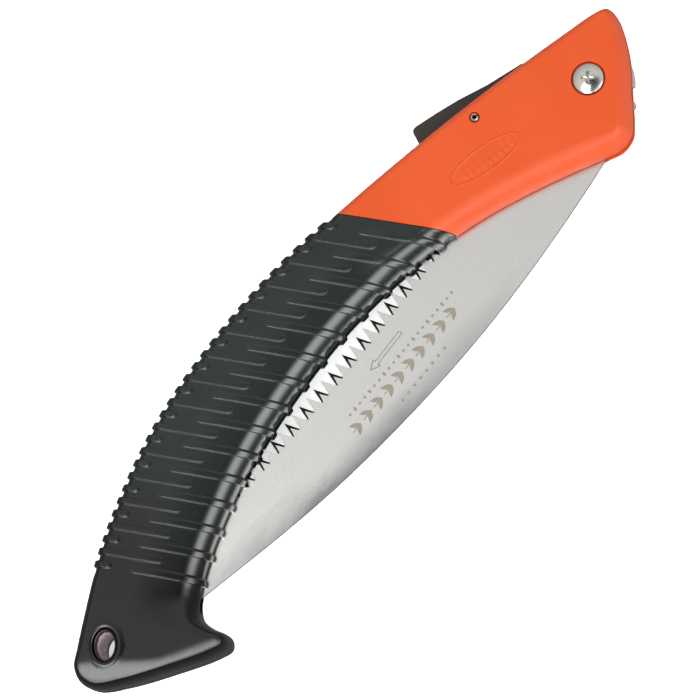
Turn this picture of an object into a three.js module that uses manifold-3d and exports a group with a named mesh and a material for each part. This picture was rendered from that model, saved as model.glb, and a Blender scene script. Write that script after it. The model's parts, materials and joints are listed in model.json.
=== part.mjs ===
// Folding pruning saw, folded, lying on its side. Millimetres, +Z up.
// X runs along the saw towards its pivot end, Y towards the spine of the handle, and the blade's
// teeth face the spine. Everything is laid out round the blade pivot at the blade's mid-plane;
// the last lines move the whole saw so that it rests on Z = 0 with its box centred on the origin.

import * as THREE from "three";
import { mergeVertices } from "three/addons/utils/BufferGeometryUtils.js";
import Module from "manifold-3d";

const wasm = await Module();
wasm.setup();

// ---------------------------------------------------------------- driving dimensions
const GAP = 0.3; // clearance between pieces that touch
const PARTING_Z = GAP / 2; // each half shell stops this short of the mid-plane
const FACE_Z = 12; // half the thickness of the handle
const SLOT_Z = 1.8; // half the width of the blade slot
const POCKET_Z = 4.8; // half the width of the lever pocket
const ROUND_HEIGHT = 10; // height of the oval rounding of the handle's edges
const RIB_HEIGHT = 0.7;

const BLADE_THICKNESS = 1.25;
const TANG_RADIUS = 15.9;
const NECK_Y = 13;
const TOOTH_PITCH = 4.16; // about six teeth to the inch
const TOOTH_COUNT = 49;
const TOOTH_DEPTH = 5.8;
const FIRST_TOOTH_X = -36.3;
const TIP_REACH = 243.8; // the slot ends on this circle round the pivot

const BUSH_RADIUS = 4;
const BOLT_RADIUS = 3;
const BOLT_HEAD_RADIUS = 5.65;
const NUT_ACROSS_FLATS = 10;

const LEVER_PIVOT = new THREE.Vector2(-36.8, 25.1);
const LEVER_HALF_WIDTH = 4.5;
const LEVER_ARM_HALF_WIDTH = 1.5;
const ROLL_PIN_RADIUS = 1.45;
const STOP_PIN = new THREE.Vector2(-24, 15.2);
const STOP_PIN_RADIUS = 1.5;
const SPRING_SEAT = new THREE.Vector2(-50.5, 20.6);

const LANYARD_HOLE = new THREE.Vector2(-275, 12.8);
const LANYARD_HOLE_SLANT = THREE.MathUtils.degToRad(38);
const EYELET_LENGTH = 12.4; // outside of the liner, along the oval
const EYELET_WIDTH = 9;
const EYELET_WALL = 0.75;

const RIB_SLANT = THREE.MathUtils.degToRad(27.8); // ribs lean this far off the Y axis
const GRIP_EDGE = -64.3; // where the rubber starts, measured square to the ribs
const FIRST_RIB = -69.4;
const RIB_PITCH = 4.936;
const RIB_COUNT = 29;

const ACROSS_RIBS = new THREE.Vector2(Math.cos(RIB_SLANT), Math.sin(RIB_SLANT));
const ALONG_RIBS = new THREE.Vector2(Math.sin(RIB_SLANT), -Math.cos(RIB_SLANT)); // spine to belly

const SCREW_PLACES = [
  [-70, 35],
  [-125, 45.2],
  [-190, 46],
  [-257, 25],
  [-257, -8],
];

// Outline of the handle at the mid-plane: x, y and how far the oval rounding reaches inwards.
// It starts at the pivot end, follows the spine to the tail, then the hook and the belly lip.
const HANDLE_OUTLINE = [
  [22.6, 14.4, 3], [18, 16.4, 4], [10, 18.9, 5], [-8, 24.4, 6], [-26, 29.6, 6],
  [-44, 34.3, 6], [-62, 38.6, 6], [-80, 42.6, 6], [-96, 45.8, 6], [-112, 49, 6],
  [-130, 51.4, 6], [-150, 52.8, 6], [-168, 52.9, 6], [-184, 52.2, 6], [-200, 50.4, 6],
  [-216, 47.2, 6], [-232, 42.9, 6], [-246, 38.3, 6],
  [-257, 33.9, 6], [-269, 28.2, 6], [-282, 21.7, 5], [-288.6, 17.8, 4], [-291.4, 12.6, 4],
  [-290, 6.2, 4], [-282, -1.6, 4], [-267, -12.6, 4], [-253, -21.6, 3], [-247.4, -23.4, 2],
  [-244, -20.6, 2], [-245.2, -14.4, 3], [-245.2, -8.6, 4], [-241.6, -4.6, 6], [-234, -0.9, 8],
  [-222, 3.8, 8], [-208, 7.9, 8], [-194, 11.2, 8], [-178, 13.8, 8], [-162, 15.2, 8],
  [-146, 15.8, 8], [-130, 15.4, 8], [-114, 13.8, 8], [-98, 11, 8], [-80, 6.3, 8], [-62, 0, 8],
  [-44, -8.2, 8], [-30, -15.6, 8], [-18, -22.2, 7], [-12.4, -24.6, 6], [-6.6, -24.2, 6],
  [-2.6, -21.6, 6], [6.5, -13.6, 6], [14.6, -6.4, 6], [21.6, 1.9, 5], [25.6, 8.8, 3],
  [25.6, 12.2, 3],
];

// ---------------------------------------------------------------- solids
function solidOf(geometry) {
  const bare = new THREE.BufferGeometry();
  bare.setAttribute("position", geometry.getAttribute("position"));
  bare.setIndex(geometry.getIndex());
  const welded = mergeVertices(bare, 1e-4);
  const vertProperties = new Float32Array(welded.getAttribute("position").array);
  const triVerts = new Uint32Array(welded.getIndex().array);
  return new wasm.Manifold(new wasm.Mesh({ numProp: 3, vertProperties, triVerts }));
}

function geometryOf(solid) {
  const mesh = solid.getMesh();
  const geometry = new THREE.BufferGeometry();
  geometry.setAttribute("position", new THREE.BufferAttribute(new Float32Array(mesh.vertProperties), 3));
  geometry.setIndex(new THREE.BufferAttribute(new Uint32Array(mesh.triVerts), 1));
  geometry.computeVertexNormals();
  return geometry;
}

// A flat shape given by its points, pulled up from one height to another.
function prism(points, bottom, top) {
  const shape = new THREE.Shape(points);
  const geometry = new THREE.ExtrudeGeometry(shape, { depth: top - bottom, bevelEnabled: false });
  geometry.translate(0, 0, bottom);
  return solidOf(geometry);
}

function circlePoints(x, y, radius, segments = 24) {
  const points = [];
  for (let i = 0; i < segments; i += 1) {
    const angle = (2 * Math.PI * i) / segments;
    points.push(new THREE.Vector2(x + radius * Math.cos(angle), y + radius * Math.sin(angle)));
  }
  return points;
}

function rod(x, y, radius, bottom, top, segments = 24) {
  return prism(circlePoints(x, y, radius, segments), bottom, top);
}

// Points of an oval with straight flanks, its length along a slanted direction.
function stadiumPoints(centre, length, width, slant, segments = 8) {
  const radius = width / 2;
  const reach = length / 2 - radius;
  const points = [];
  for (const side of [1, -1]) {
    for (let i = 0; i <= segments; i += 1) {
      const angle = (side > 0 ? -0.5 : 0.5) * Math.PI + (Math.PI * i) / segments;
      const point = new THREE.Vector2(side * reach + radius * Math.cos(angle), radius * Math.sin(angle));
      points.push(point.rotateAround(new THREE.Vector2(), slant).add(centre));
    }
  }
  return points;
}

// A body turned round the Z axis through a point, from a profile of radius and height.
function turned(x, y, profile, segments = 28) {
  const points = profile.map(([radius, height]) => new THREE.Vector2(radius, height));
  const geometry = new THREE.LatheGeometry(points, segments);
  geometry.rotateX(Math.PI / 2);
  geometry.translate(x, y, 0);
  return solidOf(geometry);
}

function smoothOutline(controls, count) {
  const curve = new THREE.CatmullRomCurve3(
    controls.map(([x, y, reach]) => new THREE.Vector3(x, y, reach)),
    true,
    "centripetal",
  );
  return curve.getPoints(count).slice(0, count);
}

// The outline pushed outwards at each point, by a distance that may change from point to point.
function pushed(outline, distanceAt) {
  return outline.map((point, i) => {
    const before = outline[(i + outline.length - 1) % outline.length];
    const after = outline[(i + 1) % outline.length];
    const along = new THREE.Vector2(after.x - before.x, after.y - before.y).normalize();
    const distance = distanceAt(point);
    return new THREE.Vector2(point.x + along.y * distance, point.y - along.x * distance);
  });
}

// A closed skin through rings of equal length, each a flat outline at its own height.
function ringLoft(rings, heights) {
  const count = rings[0].length;
  const positions = [];
  const faces = [];
  rings.forEach((ring, level) => {
    ring.forEach((point) => positions.push(point.x, point.y, heights[level]));
  });
  for (let level = 0; level < rings.length - 1; level += 1) {
    for (let i = 0; i < count; i += 1) {
      const next = (i + 1) % count;
      const low = level * count;
      const high = low + count;
      faces.push(low + i, low + next, high + next, low + i, high + next, high + i);
    }
  }
  const bottomCap = THREE.ShapeUtils.triangulateShape(rings[0], []);
  const topCap = THREE.ShapeUtils.triangulateShape(rings.at(-1), []);
  const last = (rings.length - 1) * count;
  bottomCap.forEach(([a, b, c]) => faces.push(a, c, b));
  topCap.forEach(([a, b, c]) => faces.push(last + a, last + b, last + c));
  const geometry = new THREE.BufferGeometry();
  geometry.setAttribute("position", new THREE.Float32BufferAttribute(positions, 3));
  geometry.setIndex(faces);
  return solidOf(geometry);
}

// ---------------------------------------------------------------- the handle's outer form
const OUTLINE = smoothOutline(HANDLE_OUTLINE, 2 * HANDLE_OUTLINE.length);
const ROUNDING_STEPS = 3;

// One half of the handle's outside, from the mid-plane to its face, swollen by `grow`.
function handleHalf(grow) {
  const face = FACE_Z + grow;
  const straightTop = face - ROUND_HEIGHT;
  const rings = [pushed(OUTLINE, () => grow)];
  const heights = [PARTING_Z];
  for (let i = 0; i <= ROUNDING_STEPS; i += 1) {
    const turn = (i / ROUNDING_STEPS) * (Math.PI / 2);
    rings.push(pushed(OUTLINE, (point) => grow - point.z * (1 - Math.cos(turn))));
    heights.push(straightTop + ROUND_HEIGHT * Math.sin(turn));
  }
  return ringLoft(rings, heights);
}

// Half-plane on the tail side of a line that runs along the ribs.
function tailSideOf(distance) {
  const corner = (a, b) => ACROSS_RIBS.clone().multiplyScalar(a).addScaledVector(ALONG_RIBS, b);
  return [
    corner(distance, -200),
    corner(distance - 400, -200),
    corner(distance - 400, 300),
    corner(distance, 300),
  ];
}

// The stiff core under the rubber: it follows the handle 3 mm inside and stops short of the hook.
const CORE_OUTLINE = [
  [-60, 35], [-80, 39.5], [-96, 42.7], [-112, 45.9], [-130, 48.3], [-150, 49.7], [-168, 49.8],
  [-184, 49.1], [-200, 47.3], [-216, 44], [-232, 39.6], [-246, 35], [-257, 30.7], [-269, 25],
  [-281, 18.6], [-286, 14], [-286, 9], [-279, 1.5], [-266, -8], [-256, -13], [-249, -9],
  [-244, -2.5], [-234, 2.6], [-222, 7.1], [-208, 11.2], [-194, 14.4], [-178, 17], [-162, 18.4],
  [-146, 19], [-130, 18.6], [-114, 17.1], [-98, 14.4], [-80, 9.9], [-60, 3],
];

function gripCore(grow) {
  const outline = smoothOutline(CORE_OUTLINE.map(([x, y]) => [x, y, 0]), 64);
  const rings = [pushed(outline, () => grow), pushed(outline, () => grow), pushed(outline, () => grow - 3)];
  return ringLoft(rings, [PARTING_Z - grow, 6.5 + grow * 0.5, 9.6 + grow]);
}

// ---------------------------------------------------------------- hollows inside the handle
function bladeSlot() {
  const points = [
    [60, 90], [-61, 90], [-61, 27], [-80, 31], [-110, 37], [-140, 40.5], [-170, 41], [-200, 38],
    [-222, 33.5], [-238, 28],
  ].map(([x, y]) => new THREE.Vector2(x, y));
  for (let degrees = 174; degrees <= 196; degrees += 2) {
    const angle = THREE.MathUtils.degToRad(degrees);
    points.push(new THREE.Vector2(TIP_REACH * Math.cos(angle), TIP_REACH * Math.sin(angle)));
  }
  points.push(new THREE.Vector2(60, -90));
  return prism(points, -SLOT_Z, SLOT_Z);
}

function leverPocket() {
  const points = [
    [-6, 60], [-60.8, 60], [-60.8, 26], [-54.5, SPRING_SEAT.y - GAP], [-46.5, SPRING_SEAT.y - GAP],
    [-44.5, 19], [-31, 18.6], [-25, 21.3], [-6, 21.5],
  ].map(([x, y]) => new THREE.Vector2(x, y));
  return prism(points, -POCKET_Z, POCKET_Z);
}

function hexPoints(acrossFlats) {
  return circlePoints(0, 0, acrossFlats / Math.sqrt(3), 6);
}

const lanyardHole = (grow, bottom, top) =>
  prism(
    stadiumPoints(LANYARD_HOLE, EYELET_LENGTH + 2 * grow, EYELET_WIDTH + 2 * grow, LANYARD_HOLE_SLANT),
    bottom,
    top,
  );

const BLADE_SLOT = bladeSlot();
const LEVER_POCKET = leverPocket();

// ---------------------------------------------------------------- the orange half shells
function shellBlank() {
  const front = handleHalf(0).subtract(prism(tailSideOf(GRIP_EDGE), -20, 20));
  return front.add(gripCore(0)).subtract(BLADE_SLOT).subtract(LEVER_POCKET);
}

function throughHoles(solid) {
  return solid
    .subtract(rod(0, 0, BOLT_RADIUS + GAP, -20, 20))
    .subtract(rod(LEVER_PIVOT.x, LEVER_PIVOT.y, ROLL_PIN_RADIUS + GAP, -20, 20, 16))
    .subtract(rod(STOP_PIN.x, STOP_PIN.y, STOP_PIN_RADIUS + GAP, -6.3, 6.3, 16))
    .subtract(lanyardHole(GAP, -20, 20));
}

function housingNear() {
  let shell = throughHoles(shellBlank());
  shell = shell.subtract(rod(0, 0, BOLT_HEAD_RADIUS + 0.6, 9.9, 20, 32));
  for (const [x, y] of SCREW_PLACES) {
    shell = shell.subtract(rod(x, y, 1.5 + GAP, -1, 7.5, 12));
  }
  return shell;
}

function housingFar() {
  let shell = throughHoles(shellBlank().mirror([0, 0, 1]));
  shell = shell.subtract(prism(hexPoints(NUT_ACROSS_FLATS + 2 * GAP), -20, -6.4));
  for (const [x, y] of SCREW_PLACES) {
    shell = shell.subtract(rod(x, y, 1.5 + GAP, -20, 1, 12));
    shell = shell.subtract(rod(x, y, 3.4, -20, -6.9, 20));
  }
  return shell;
}

// ---------------------------------------------------------------- the rubber grip halves
// Where a line along the ribs, at a distance measured square to them, crosses the outline.
function ribSpan(distance) {
  const crossings = [];
  OUTLINE.forEach((start, i) => {
    const end = OUTLINE[(i + 1) % OUTLINE.length];
    const before = ACROSS_RIBS.dot(start) - distance;
    const after = ACROSS_RIBS.dot(end) - distance;
    if (before * after < 0) {
      const share = before / (before - after);
      crossings.push(ALONG_RIBS.dot(start) * (1 - share) + ALONG_RIBS.dot(end) * share);
    }
  });
  crossings.sort((a, b) => a - b);
  return [crossings[0], crossings[1]];
}

// A bar along the rib direction with a round end where it stops short of the edge.
function ribBar(distance, from, to, width) {
  const middle = (from + to) / 2;
  const centre = ACROSS_RIBS.clone().multiplyScalar(distance).addScaledVector(ALONG_RIBS, middle);
  return prism(stadiumPoints(centre, to - from, width, RIB_SLANT - Math.PI / 2, 2), 0, 20);
}

function ribBars() {
  const bars = [];
  for (let i = 0; i < RIB_COUNT; i += 1) {
    const distance = FIRST_RIB - i * RIB_PITCH;
    const [spine, belly] = ribSpan(distance);
    const width = belly - spine;
    if (i % 2 === 1) {
      bars.push(ribBar(distance, spine - 6, spine + 0.62 * width, 3));
    } else {
      bars.push(ribBar(distance, spine - 6, spine + 7, 2.6));
      bars.push(ribBar(distance, spine + 0.36 * width, belly + 6, 3.2));
    }
  }
  return wasm.Manifold.union(bars);
}

function gripNear() {
  const ribs = handleHalf(RIB_HEIGHT).intersect(ribBars());
  return handleHalf(0)
    .add(ribs)
    .intersect(prism(tailSideOf(GRIP_EDGE - GAP), -20, 20))
    .subtract(gripCore(GAP))
    .subtract(BLADE_SLOT)
    .subtract(lanyardHole(GAP, -20, 20));
}

function gripFar(near) {
  let grip = near.mirror([0, 0, 1]);
  for (const [x, y] of SCREW_PLACES.slice(1)) {
    grip = grip.subtract(rod(x, y, 3.7, -20, 1, 20));
  }
  return grip;
}

// ---------------------------------------------------------------- the blade
function toothLine(x) {
  const lowest = -118;
  const bend = x < lowest ? 0.00048 : 0.0002;
  return 12.4 + bend * (x - lowest) ** 2;
}

function bladePoints() {
  const points = [];
  for (let degrees = 126; degrees >= -59; degrees -= 9.25) {
    const angle = THREE.MathUtils.degToRad(degrees);
    points.push([TANG_RADIUS * Math.cos(angle), TANG_RADIUS * Math.sin(angle)]);
  }
  const lockNotch = [[6.1, -11.6], [4.1, -13], [4.3, -16.6], [3.4, -17.9], [1.6, -18.4]];
  const back = [
    [-8, -20.1], [-20, -21.7], [-40, -23.5], [-62, -24.8], [-83, -25.3], [-104, -25], [-128, -23.5],
    [-152, -21], [-176, -17.5], [-200, -12.7], [-224, -6.9], [-238.4, -3.3],
  ];
  const tip = [[-240.2, -2.4], [-241, -0.8], [-241.9, 10], [-241.6, 15.5], [-240.2, 18]];
  points.push(...lockNotch, ...back, ...tip);
  for (let i = TOOTH_COUNT - 1; i >= 0; i -= 1) {
    const x = FIRST_TOOTH_X - i * TOOTH_PITCH;
    points.push([x - 0.5 * TOOTH_PITCH - 0.2, toothLine(x) - TOOTH_DEPTH]);
    points.push([x - 0.5 * TOOTH_PITCH + 0.2, toothLine(x) - TOOTH_DEPTH]);
    points.push([x, toothLine(x)]);
  }
  points.push([FIRST_TOOTH_X + 0.5 * TOOTH_PITCH, toothLine(FIRST_TOOTH_X) - TOOTH_DEPTH]);
  points.push([FIRST_TOOTH_X + 4.5, NECK_Y]);
  return points.map(([x, y]) => new THREE.Vector2(x, y));
}

function blade() {
  const plate = prism(bladePoints(), -BLADE_THICKNESS / 2, BLADE_THICKNESS / 2);
  return plate.subtract(rod(0, 0, BUSH_RADIUS + GAP, -2, 2, 32));
}

// ---------------------------------------------------------------- pivot hardware
const ringProfile = (inner, outer, bottom, top) => [
  [inner, bottom], [outer, bottom], [outer, top], [inner, top], [inner, bottom],
];

const pivotBush = () => turned(0, 0, ringProfile(BOLT_RADIUS + GAP, BUSH_RADIUS, -1.5, 1.5));

const pivotWasher = (bottom) => turned(0, 0, ringProfile(BUSH_RADIUS + GAP, 8, bottom, bottom + 0.575));

// A cross-shaped driver recess, to be cut from a screw head.
function crossRecess(x, y, reach, bottom, top) {
  const arm = (turn) => {
    const geometry = new THREE.BoxGeometry(2 * reach, reach * 0.36, top - bottom);
    geometry.rotateZ(turn);
    geometry.translate(x, y, (bottom + top) / 2);
    return solidOf(geometry);
  };
  return arm(Math.PI / 4).add(arm(-Math.PI / 4));
}

function pivotBolt() {
  const head = [
    [0, -10.6], [BOLT_RADIUS, -10.6], [BOLT_RADIUS, 10.2], [BOLT_HEAD_RADIUS, 10.2],
    [BOLT_HEAD_RADIUS, 11.4], [5.2, 12.1], [3.9, 12.6], [2.2, 12.9], [0, 13],
  ];
  return turned(0, 0, head).subtract(crossRecess(0, 0, 2.9, 11.2, 14));
}

function pivotNut() {
  const body = prism(hexPoints(NUT_ACROSS_FLATS), -11.6, -6.7);
  return body.subtract(rod(0, 0, BOLT_RADIUS + GAP, -20, 0));
}

// ---------------------------------------------------------------- lock lever, its pin and spring
function leverPad() {
  const points = [
    [-10, 22.6], [-9.2, 25.4], [-23.8, 31], [-34.7, 36.2], [-44, 39.9], [-53, 43.1], [-54.6, 42.5],
    [-57.2, 36.6], [-57.2, 33.4], [-55, 31], [-46, 29.4], [-42.8, 27], [-41.6, 22.6], [-38.6, 20.3],
    [-36, 20], [-26, 22.4],
  ].map(([x, y]) => new THREE.Vector2(x, y));
  return prism(points, -LEVER_HALF_WIDTH, LEVER_HALF_WIDTH);
}

function leverArm() {
  const points = [
    [-5.3, 15.9], [-4.9, 18.6], [-2.8, 21.2], [-4, 23.4], [-9.2, 25.4], [-34, 34], [-34, 21],
    [-24, 19.9], [-12, 17.2], [-9.5, 14.7],
  ].map(([x, y]) => new THREE.Vector2(x, y));
  return prism(points, -LEVER_ARM_HALF_WIDTH, LEVER_ARM_HALF_WIDTH);
}

function lockLever() {
  const hole = rod(LEVER_PIVOT.x, LEVER_PIVOT.y, ROLL_PIN_RADIUS + GAP, -20, 20, 16);
  return leverPad().add(leverArm()).subtract(hole);
}

// A rolled spring pin: a tube with a slit down one side.
function leverPin() {
  const { x, y } = LEVER_PIVOT;
  const slit = new THREE.BoxGeometry(3, 0.5, 60);
  slit.translate(x + 1.7, y, 0);
  return rod(x, y, ROLL_PIN_RADIUS, -11.6, 11.6, 20)
    .subtract(rod(x, y, 0.9, -20, 20, 12))
    .subtract(solidOf(slit));
}

// The coil that lifts the lever's pad, standing along Y between the shells' ledges and the pad.
// It is drawn at the length it has when the pad is pressed right down.
function leverSpring() {
  const [wire, radius, height, turns] = [0.45, 2.6, 6.1, 4.5];
  class Coil extends THREE.Curve {
    getPoint(share, target = new THREE.Vector3()) {
      const angle = 2 * Math.PI * turns * share;
      const rise = SPRING_SEAT.y + wire + GAP + height * share;
      const x = SPRING_SEAT.x + radius * Math.cos(angle);
      return target.set(x, rise, radius * Math.sin(angle));
    }
  }
  const section = new THREE.Shape(circlePoints(0, 0, wire, 6));
  const options = { steps: 45, extrudePath: new Coil(), bevelEnabled: false };
  return solidOf(new THREE.ExtrudeGeometry(section, options));
}

const stopPin = () => rod(STOP_PIN.x, STOP_PIN.y, STOP_PIN_RADIUS, -6, 6, 16);

// ---------------------------------------------------------------- screws and lanyard eyelet
function housingScrew(x, y) {
  const profile = [[0, 7.2], [1.5, 5.6], [1.5, -7.2], [3.1, -7.2], [3.1, -8.6], [2.2, -9.3], [0, -9.5]];
  return turned(x, y, profile.reverse(), 16).subtract(crossRecess(x, y, 1.7, -12, -8.4));
}

function eyelet() {
  const face = FACE_Z - 0.6;
  const bore = prism(
    stadiumPoints(
      LANYARD_HOLE,
      EYELET_LENGTH - 2 * EYELET_WALL,
      EYELET_WIDTH - 2 * EYELET_WALL,
      LANYARD_HOLE_SLANT,
    ),
    -20,
    20,
  );
  return lanyardHole(0, -face, face).subtract(bore);
}

// ---------------------------------------------------------------- materials and assembly
const material = (color, roughness, metalness) =>
  new THREE.MeshStandardMaterial({ color, roughness, metalness });

const orangePlastic = material(0xf15a22, 0.4, 0);
const blackRubber = material(0x1d2224, 0.55, 0);
const bladeSteel = material(0xc6c6c2, 0.35, 1);
const brightSteel = material(0xe0ddd6, 0.15, 1);
const plainSteel = material(0x9b9b98, 0.35, 1);
const darkPlastic = material(0x26282b, 0.5, 0);
const springSteel = material(0x6f7073, 0.3, 1);

const saw = new THREE.Group();
saw.name = "folding_pruning_saw";

function addPiece(name, solid, finish) {
  const mesh = new THREE.Mesh(geometryOf(solid), finish);
  mesh.name = name;
  saw.add(mesh);
}

const nearGrip = gripNear();
addPiece("blade", blade(), bladeSteel);
addPiece("pivot_bush", pivotBush(), plainSteel);
addPiece("pivot_washer_near", pivotWasher(0.925), plainSteel);
addPiece("pivot_washer_far", pivotWasher(-1.5), plainSteel);
addPiece("pivot_bolt", pivotBolt(), brightSteel);
addPiece("pivot_nut", pivotNut(), brightSteel);
addPiece("lock_lever", lockLever(), darkPlastic);
addPiece("lever_pin", leverPin(), plainSteel);
addPiece("lever_spring", leverSpring(), springSteel);
addPiece("stop_pin", stopPin(), plainSteel);
addPiece("housing_near", housingNear(), orangePlastic);
addPiece("housing_far", housingFar(), orangePlastic);
addPiece("grip_near", nearGrip, blackRubber);
addPiece("grip_far", gripFar(nearGrip), blackRubber);
addPiece("lanyard_eyelet", eyelet(), plainSteel);
SCREW_PLACES.forEach(([x, y], i) => {
  addPiece(`housing_screw_${i + 1}`, housingScrew(x, y), plainSteel);
});

// Stand the saw on Z = 0 with its box centred on the origin.
const box = new THREE.Box3().setFromObject(saw);
saw.position.set(-(box.min.x + box.max.x) / 2, -(box.min.y + box.max.y) / 2, -box.min.z);

export default saw;
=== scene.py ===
"""Looks of the folding pruning saw: a smooth, detailed piece for every solid of the frame.

Lengths are millimetres about the blade pivot, at the blade's mid-plane, until Mesh.data turns
them into metres in the frame's axes. X runs along the saw towards its pivot end, Y towards the
spine of the handle and Z up, towards the near side.
"""

import json
import math

import bpy
import numpy as np
from mathutils import Matrix, Vector
from mathutils.geometry import delaunay_2d_cdt


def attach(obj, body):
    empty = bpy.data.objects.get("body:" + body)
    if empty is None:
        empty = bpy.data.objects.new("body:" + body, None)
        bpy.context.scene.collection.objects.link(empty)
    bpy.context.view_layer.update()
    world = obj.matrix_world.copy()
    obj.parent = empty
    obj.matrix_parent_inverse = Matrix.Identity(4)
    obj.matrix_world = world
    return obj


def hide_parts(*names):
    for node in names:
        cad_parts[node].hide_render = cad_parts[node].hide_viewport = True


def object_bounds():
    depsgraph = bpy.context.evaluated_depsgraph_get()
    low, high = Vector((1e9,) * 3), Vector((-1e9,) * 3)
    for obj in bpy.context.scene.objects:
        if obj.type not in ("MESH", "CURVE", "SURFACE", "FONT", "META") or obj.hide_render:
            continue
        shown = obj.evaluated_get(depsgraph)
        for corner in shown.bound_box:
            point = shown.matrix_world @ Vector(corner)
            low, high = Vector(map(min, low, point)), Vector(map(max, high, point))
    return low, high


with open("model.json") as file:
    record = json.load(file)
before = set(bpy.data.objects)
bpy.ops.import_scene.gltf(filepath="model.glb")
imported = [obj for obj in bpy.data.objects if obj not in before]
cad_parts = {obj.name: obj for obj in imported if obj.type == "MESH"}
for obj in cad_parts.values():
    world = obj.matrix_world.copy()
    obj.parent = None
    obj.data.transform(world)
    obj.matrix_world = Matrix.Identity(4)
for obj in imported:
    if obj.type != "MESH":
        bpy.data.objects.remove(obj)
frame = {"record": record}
cad_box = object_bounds()

# ---------------------------------------------------------------- sizes
MM = 0.001
JOINTS = {joint["name"]: joint for joint in frame["record"]["behaviour"]["joints"]}
PIVOT = Vector(JOINTS["blade_fold"]["pos_m"])

PARTING_Z = 0.15  # each half stops this short of the mid-plane
FACE_Z = 12.0
STRAIGHT_Z = 2.0  # the handle's edge is upright up to here, then rounds over
ROUND_HEIGHT = FACE_Z - STRAIGHT_Z
SLOT_Z = 1.8
POCKET_Z = 4.8
THROUGH_Z = 20.0  # a cutter from -THROUGH_Z to THROUGH_Z goes right through the handle
GAP = 0.3

BUSH_RADIUS = 4.0
BOLT_RADIUS = 3.0
BOLT_HEAD_RADIUS = 5.65
NUT_ACROSS_FLATS = 10.0
LEVER_PIVOT = np.array([-36.8, 25.1])
ROLL_PIN_RADIUS = 1.45
STOP_PIN = (-24.0, 15.2)
SPRING_SEAT = (-50.5, 20.6)
LANYARD_HOLE = np.array([-274.6, 12.3])
LANYARD_SLANT = math.radians(38)
EYELET_LENGTH = 12.0
EYELET_WIDTH = 8.7
SCREW_PLACES = [(-70, 35), (-125, 45.2), (-190, 46), (-257, 25), (-257, -8)]

# The handle's outline at the mid-plane: x, y and how far its edge rounding reaches inwards.
HANDLE_OUTLINE = [
    (22.6, 14.4, 3), (18, 16.4, 4), (10, 18.9, 4), (-8, 24.4, 4), (-26, 29.6, 4),
    (-44, 34.3, 4), (-62, 38.6, 4), (-80, 42.6, 4), (-96, 45.8, 4), (-112, 49, 4),
    (-130, 51.4, 4), (-150, 52.8, 4), (-168, 52.9, 4), (-184, 52.2, 4), (-200, 50.4, 4),
    (-216, 47.2, 4), (-232, 42.9, 4), (-246, 38.3, 4), (-257, 33.9, 4), (-269, 28.2, 4),
    (-282, 21.7, 4), (-288.6, 17.8, 3), (-291.4, 12.6, 3), (-290, 6.2, 2.5), (-282, -1.6, 2.5),
    (-267, -12.6, 2.5), (-253, -21.6, 2.5), (-247.4, -23.4, 2), (-244, -20.6, 2), (-245.2, -14.4, 3),
    (-245.2, -8.6, 4), (-241.6, -4.6, 6), (-234, -0.9, 8), (-222, 3.8, 8), (-208, 7.9, 8),
    (-194, 11.2, 8), (-178, 13.8, 8), (-162, 15.2, 8), (-146, 15.8, 8), (-130, 15.4, 8),
    (-114, 13.8, 8), (-98, 11, 8), (-80, 6.3, 8), (-62, 0, 8), (-44, -8.2, 8),
    (-30, -15.6, 8), (-18, -22.2, 7), (-12.4, -24.6, 6), (-6.6, -24.2, 6), (-2.6, -21.6, 6),
    (6.5, -13.6, 6), (14.6, -6.4, 6), (21.6, 1.9, 5), (25.6, 8.8, 3), (25.6, 12.2, 3),
]


# ---------------------------------------------------------------- curves
def between(t, start, stop, first, last):
    """The point at t on the line that is first at start and last at stop."""
    return (stop - t) / (stop - start) * first + (t - start) / (stop - start) * last


def through(controls, steps, closed=True):
    """Points of a centripetal Catmull-Rom curve through the controls, steps to each span."""
    controls = np.array(controls, float)
    if closed:
        controls = np.vstack([controls[-1:], controls, controls[:2]])
    else:
        controls = np.vstack([2 * controls[0] - controls[1], controls, 2 * controls[-1] - controls[-2]])
    points = []
    for i in range(len(controls) - 3):
        p0, p1, p2, p3 = controls[i : i + 4]
        t1 = np.linalg.norm(p1 - p0) ** 0.5
        t2 = t1 + np.linalg.norm(p2 - p1) ** 0.5
        t3 = t2 + np.linalg.norm(p3 - p2) ** 0.5
        for t in np.linspace(t1, t2, steps, endpoint=False):
            a1, a2, a3 = between(t, 0, t1, p0, p1), between(t, t1, t2, p1, p2), between(t, t2, t3, p2, p3)
            b1, b2 = between(t, 0, t2, a1, a2), between(t, t1, t3, a2, a3)
            points.append(between(t, t1, t2, b1, b2))
    if not closed:
        points.append(controls[-2])
    return np.array(points)


def evenly(points, spacing):
    """A closed line's points again, evenly spaced along it."""
    loop = np.vstack([points, points[:1]])
    reach = np.concatenate([[0], np.cumsum(np.linalg.norm(np.diff(loop[:, :2], axis=0), axis=1))])
    count = int(round(reach[-1] / spacing))
    at = np.arange(count) * reach[-1] / count
    return np.stack([np.interp(at, reach, loop[:, k]) for k in range(loop.shape[1])], 1)


def smoothed(values, width):
    """Values round a closed line, averaged with a bell of this width in points."""
    offsets = np.arange(-3 * width, 3 * width + 1)
    weights = np.exp(-0.5 * (offsets / width) ** 2)
    weights /= weights.sum()
    return sum(weight * np.roll(values, -k, axis=0) for k, weight in zip(offsets, weights))


def units(vectors):
    return vectors / np.linalg.norm(vectors, axis=1)[:, None]


def ways_along(points):
    """The direction of a closed line at each of its points."""
    return units(np.roll(points, -1, axis=0) - np.roll(points, 1, axis=0))


def to_the_right(ways):
    """Directions turned a quarter to the right: outward, for a counter-clockwise outline."""
    return np.stack([ways[:, 1], -ways[:, 0]], 1)


def at_height(points, z):
    return np.column_stack([points, np.full(len(points), z)])


def circle(x, y, radius, count=64):
    angles = 2 * np.pi * np.arange(count) / count
    return np.stack([x + radius * np.cos(angles), y + radius * np.sin(angles)], 1)


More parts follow.
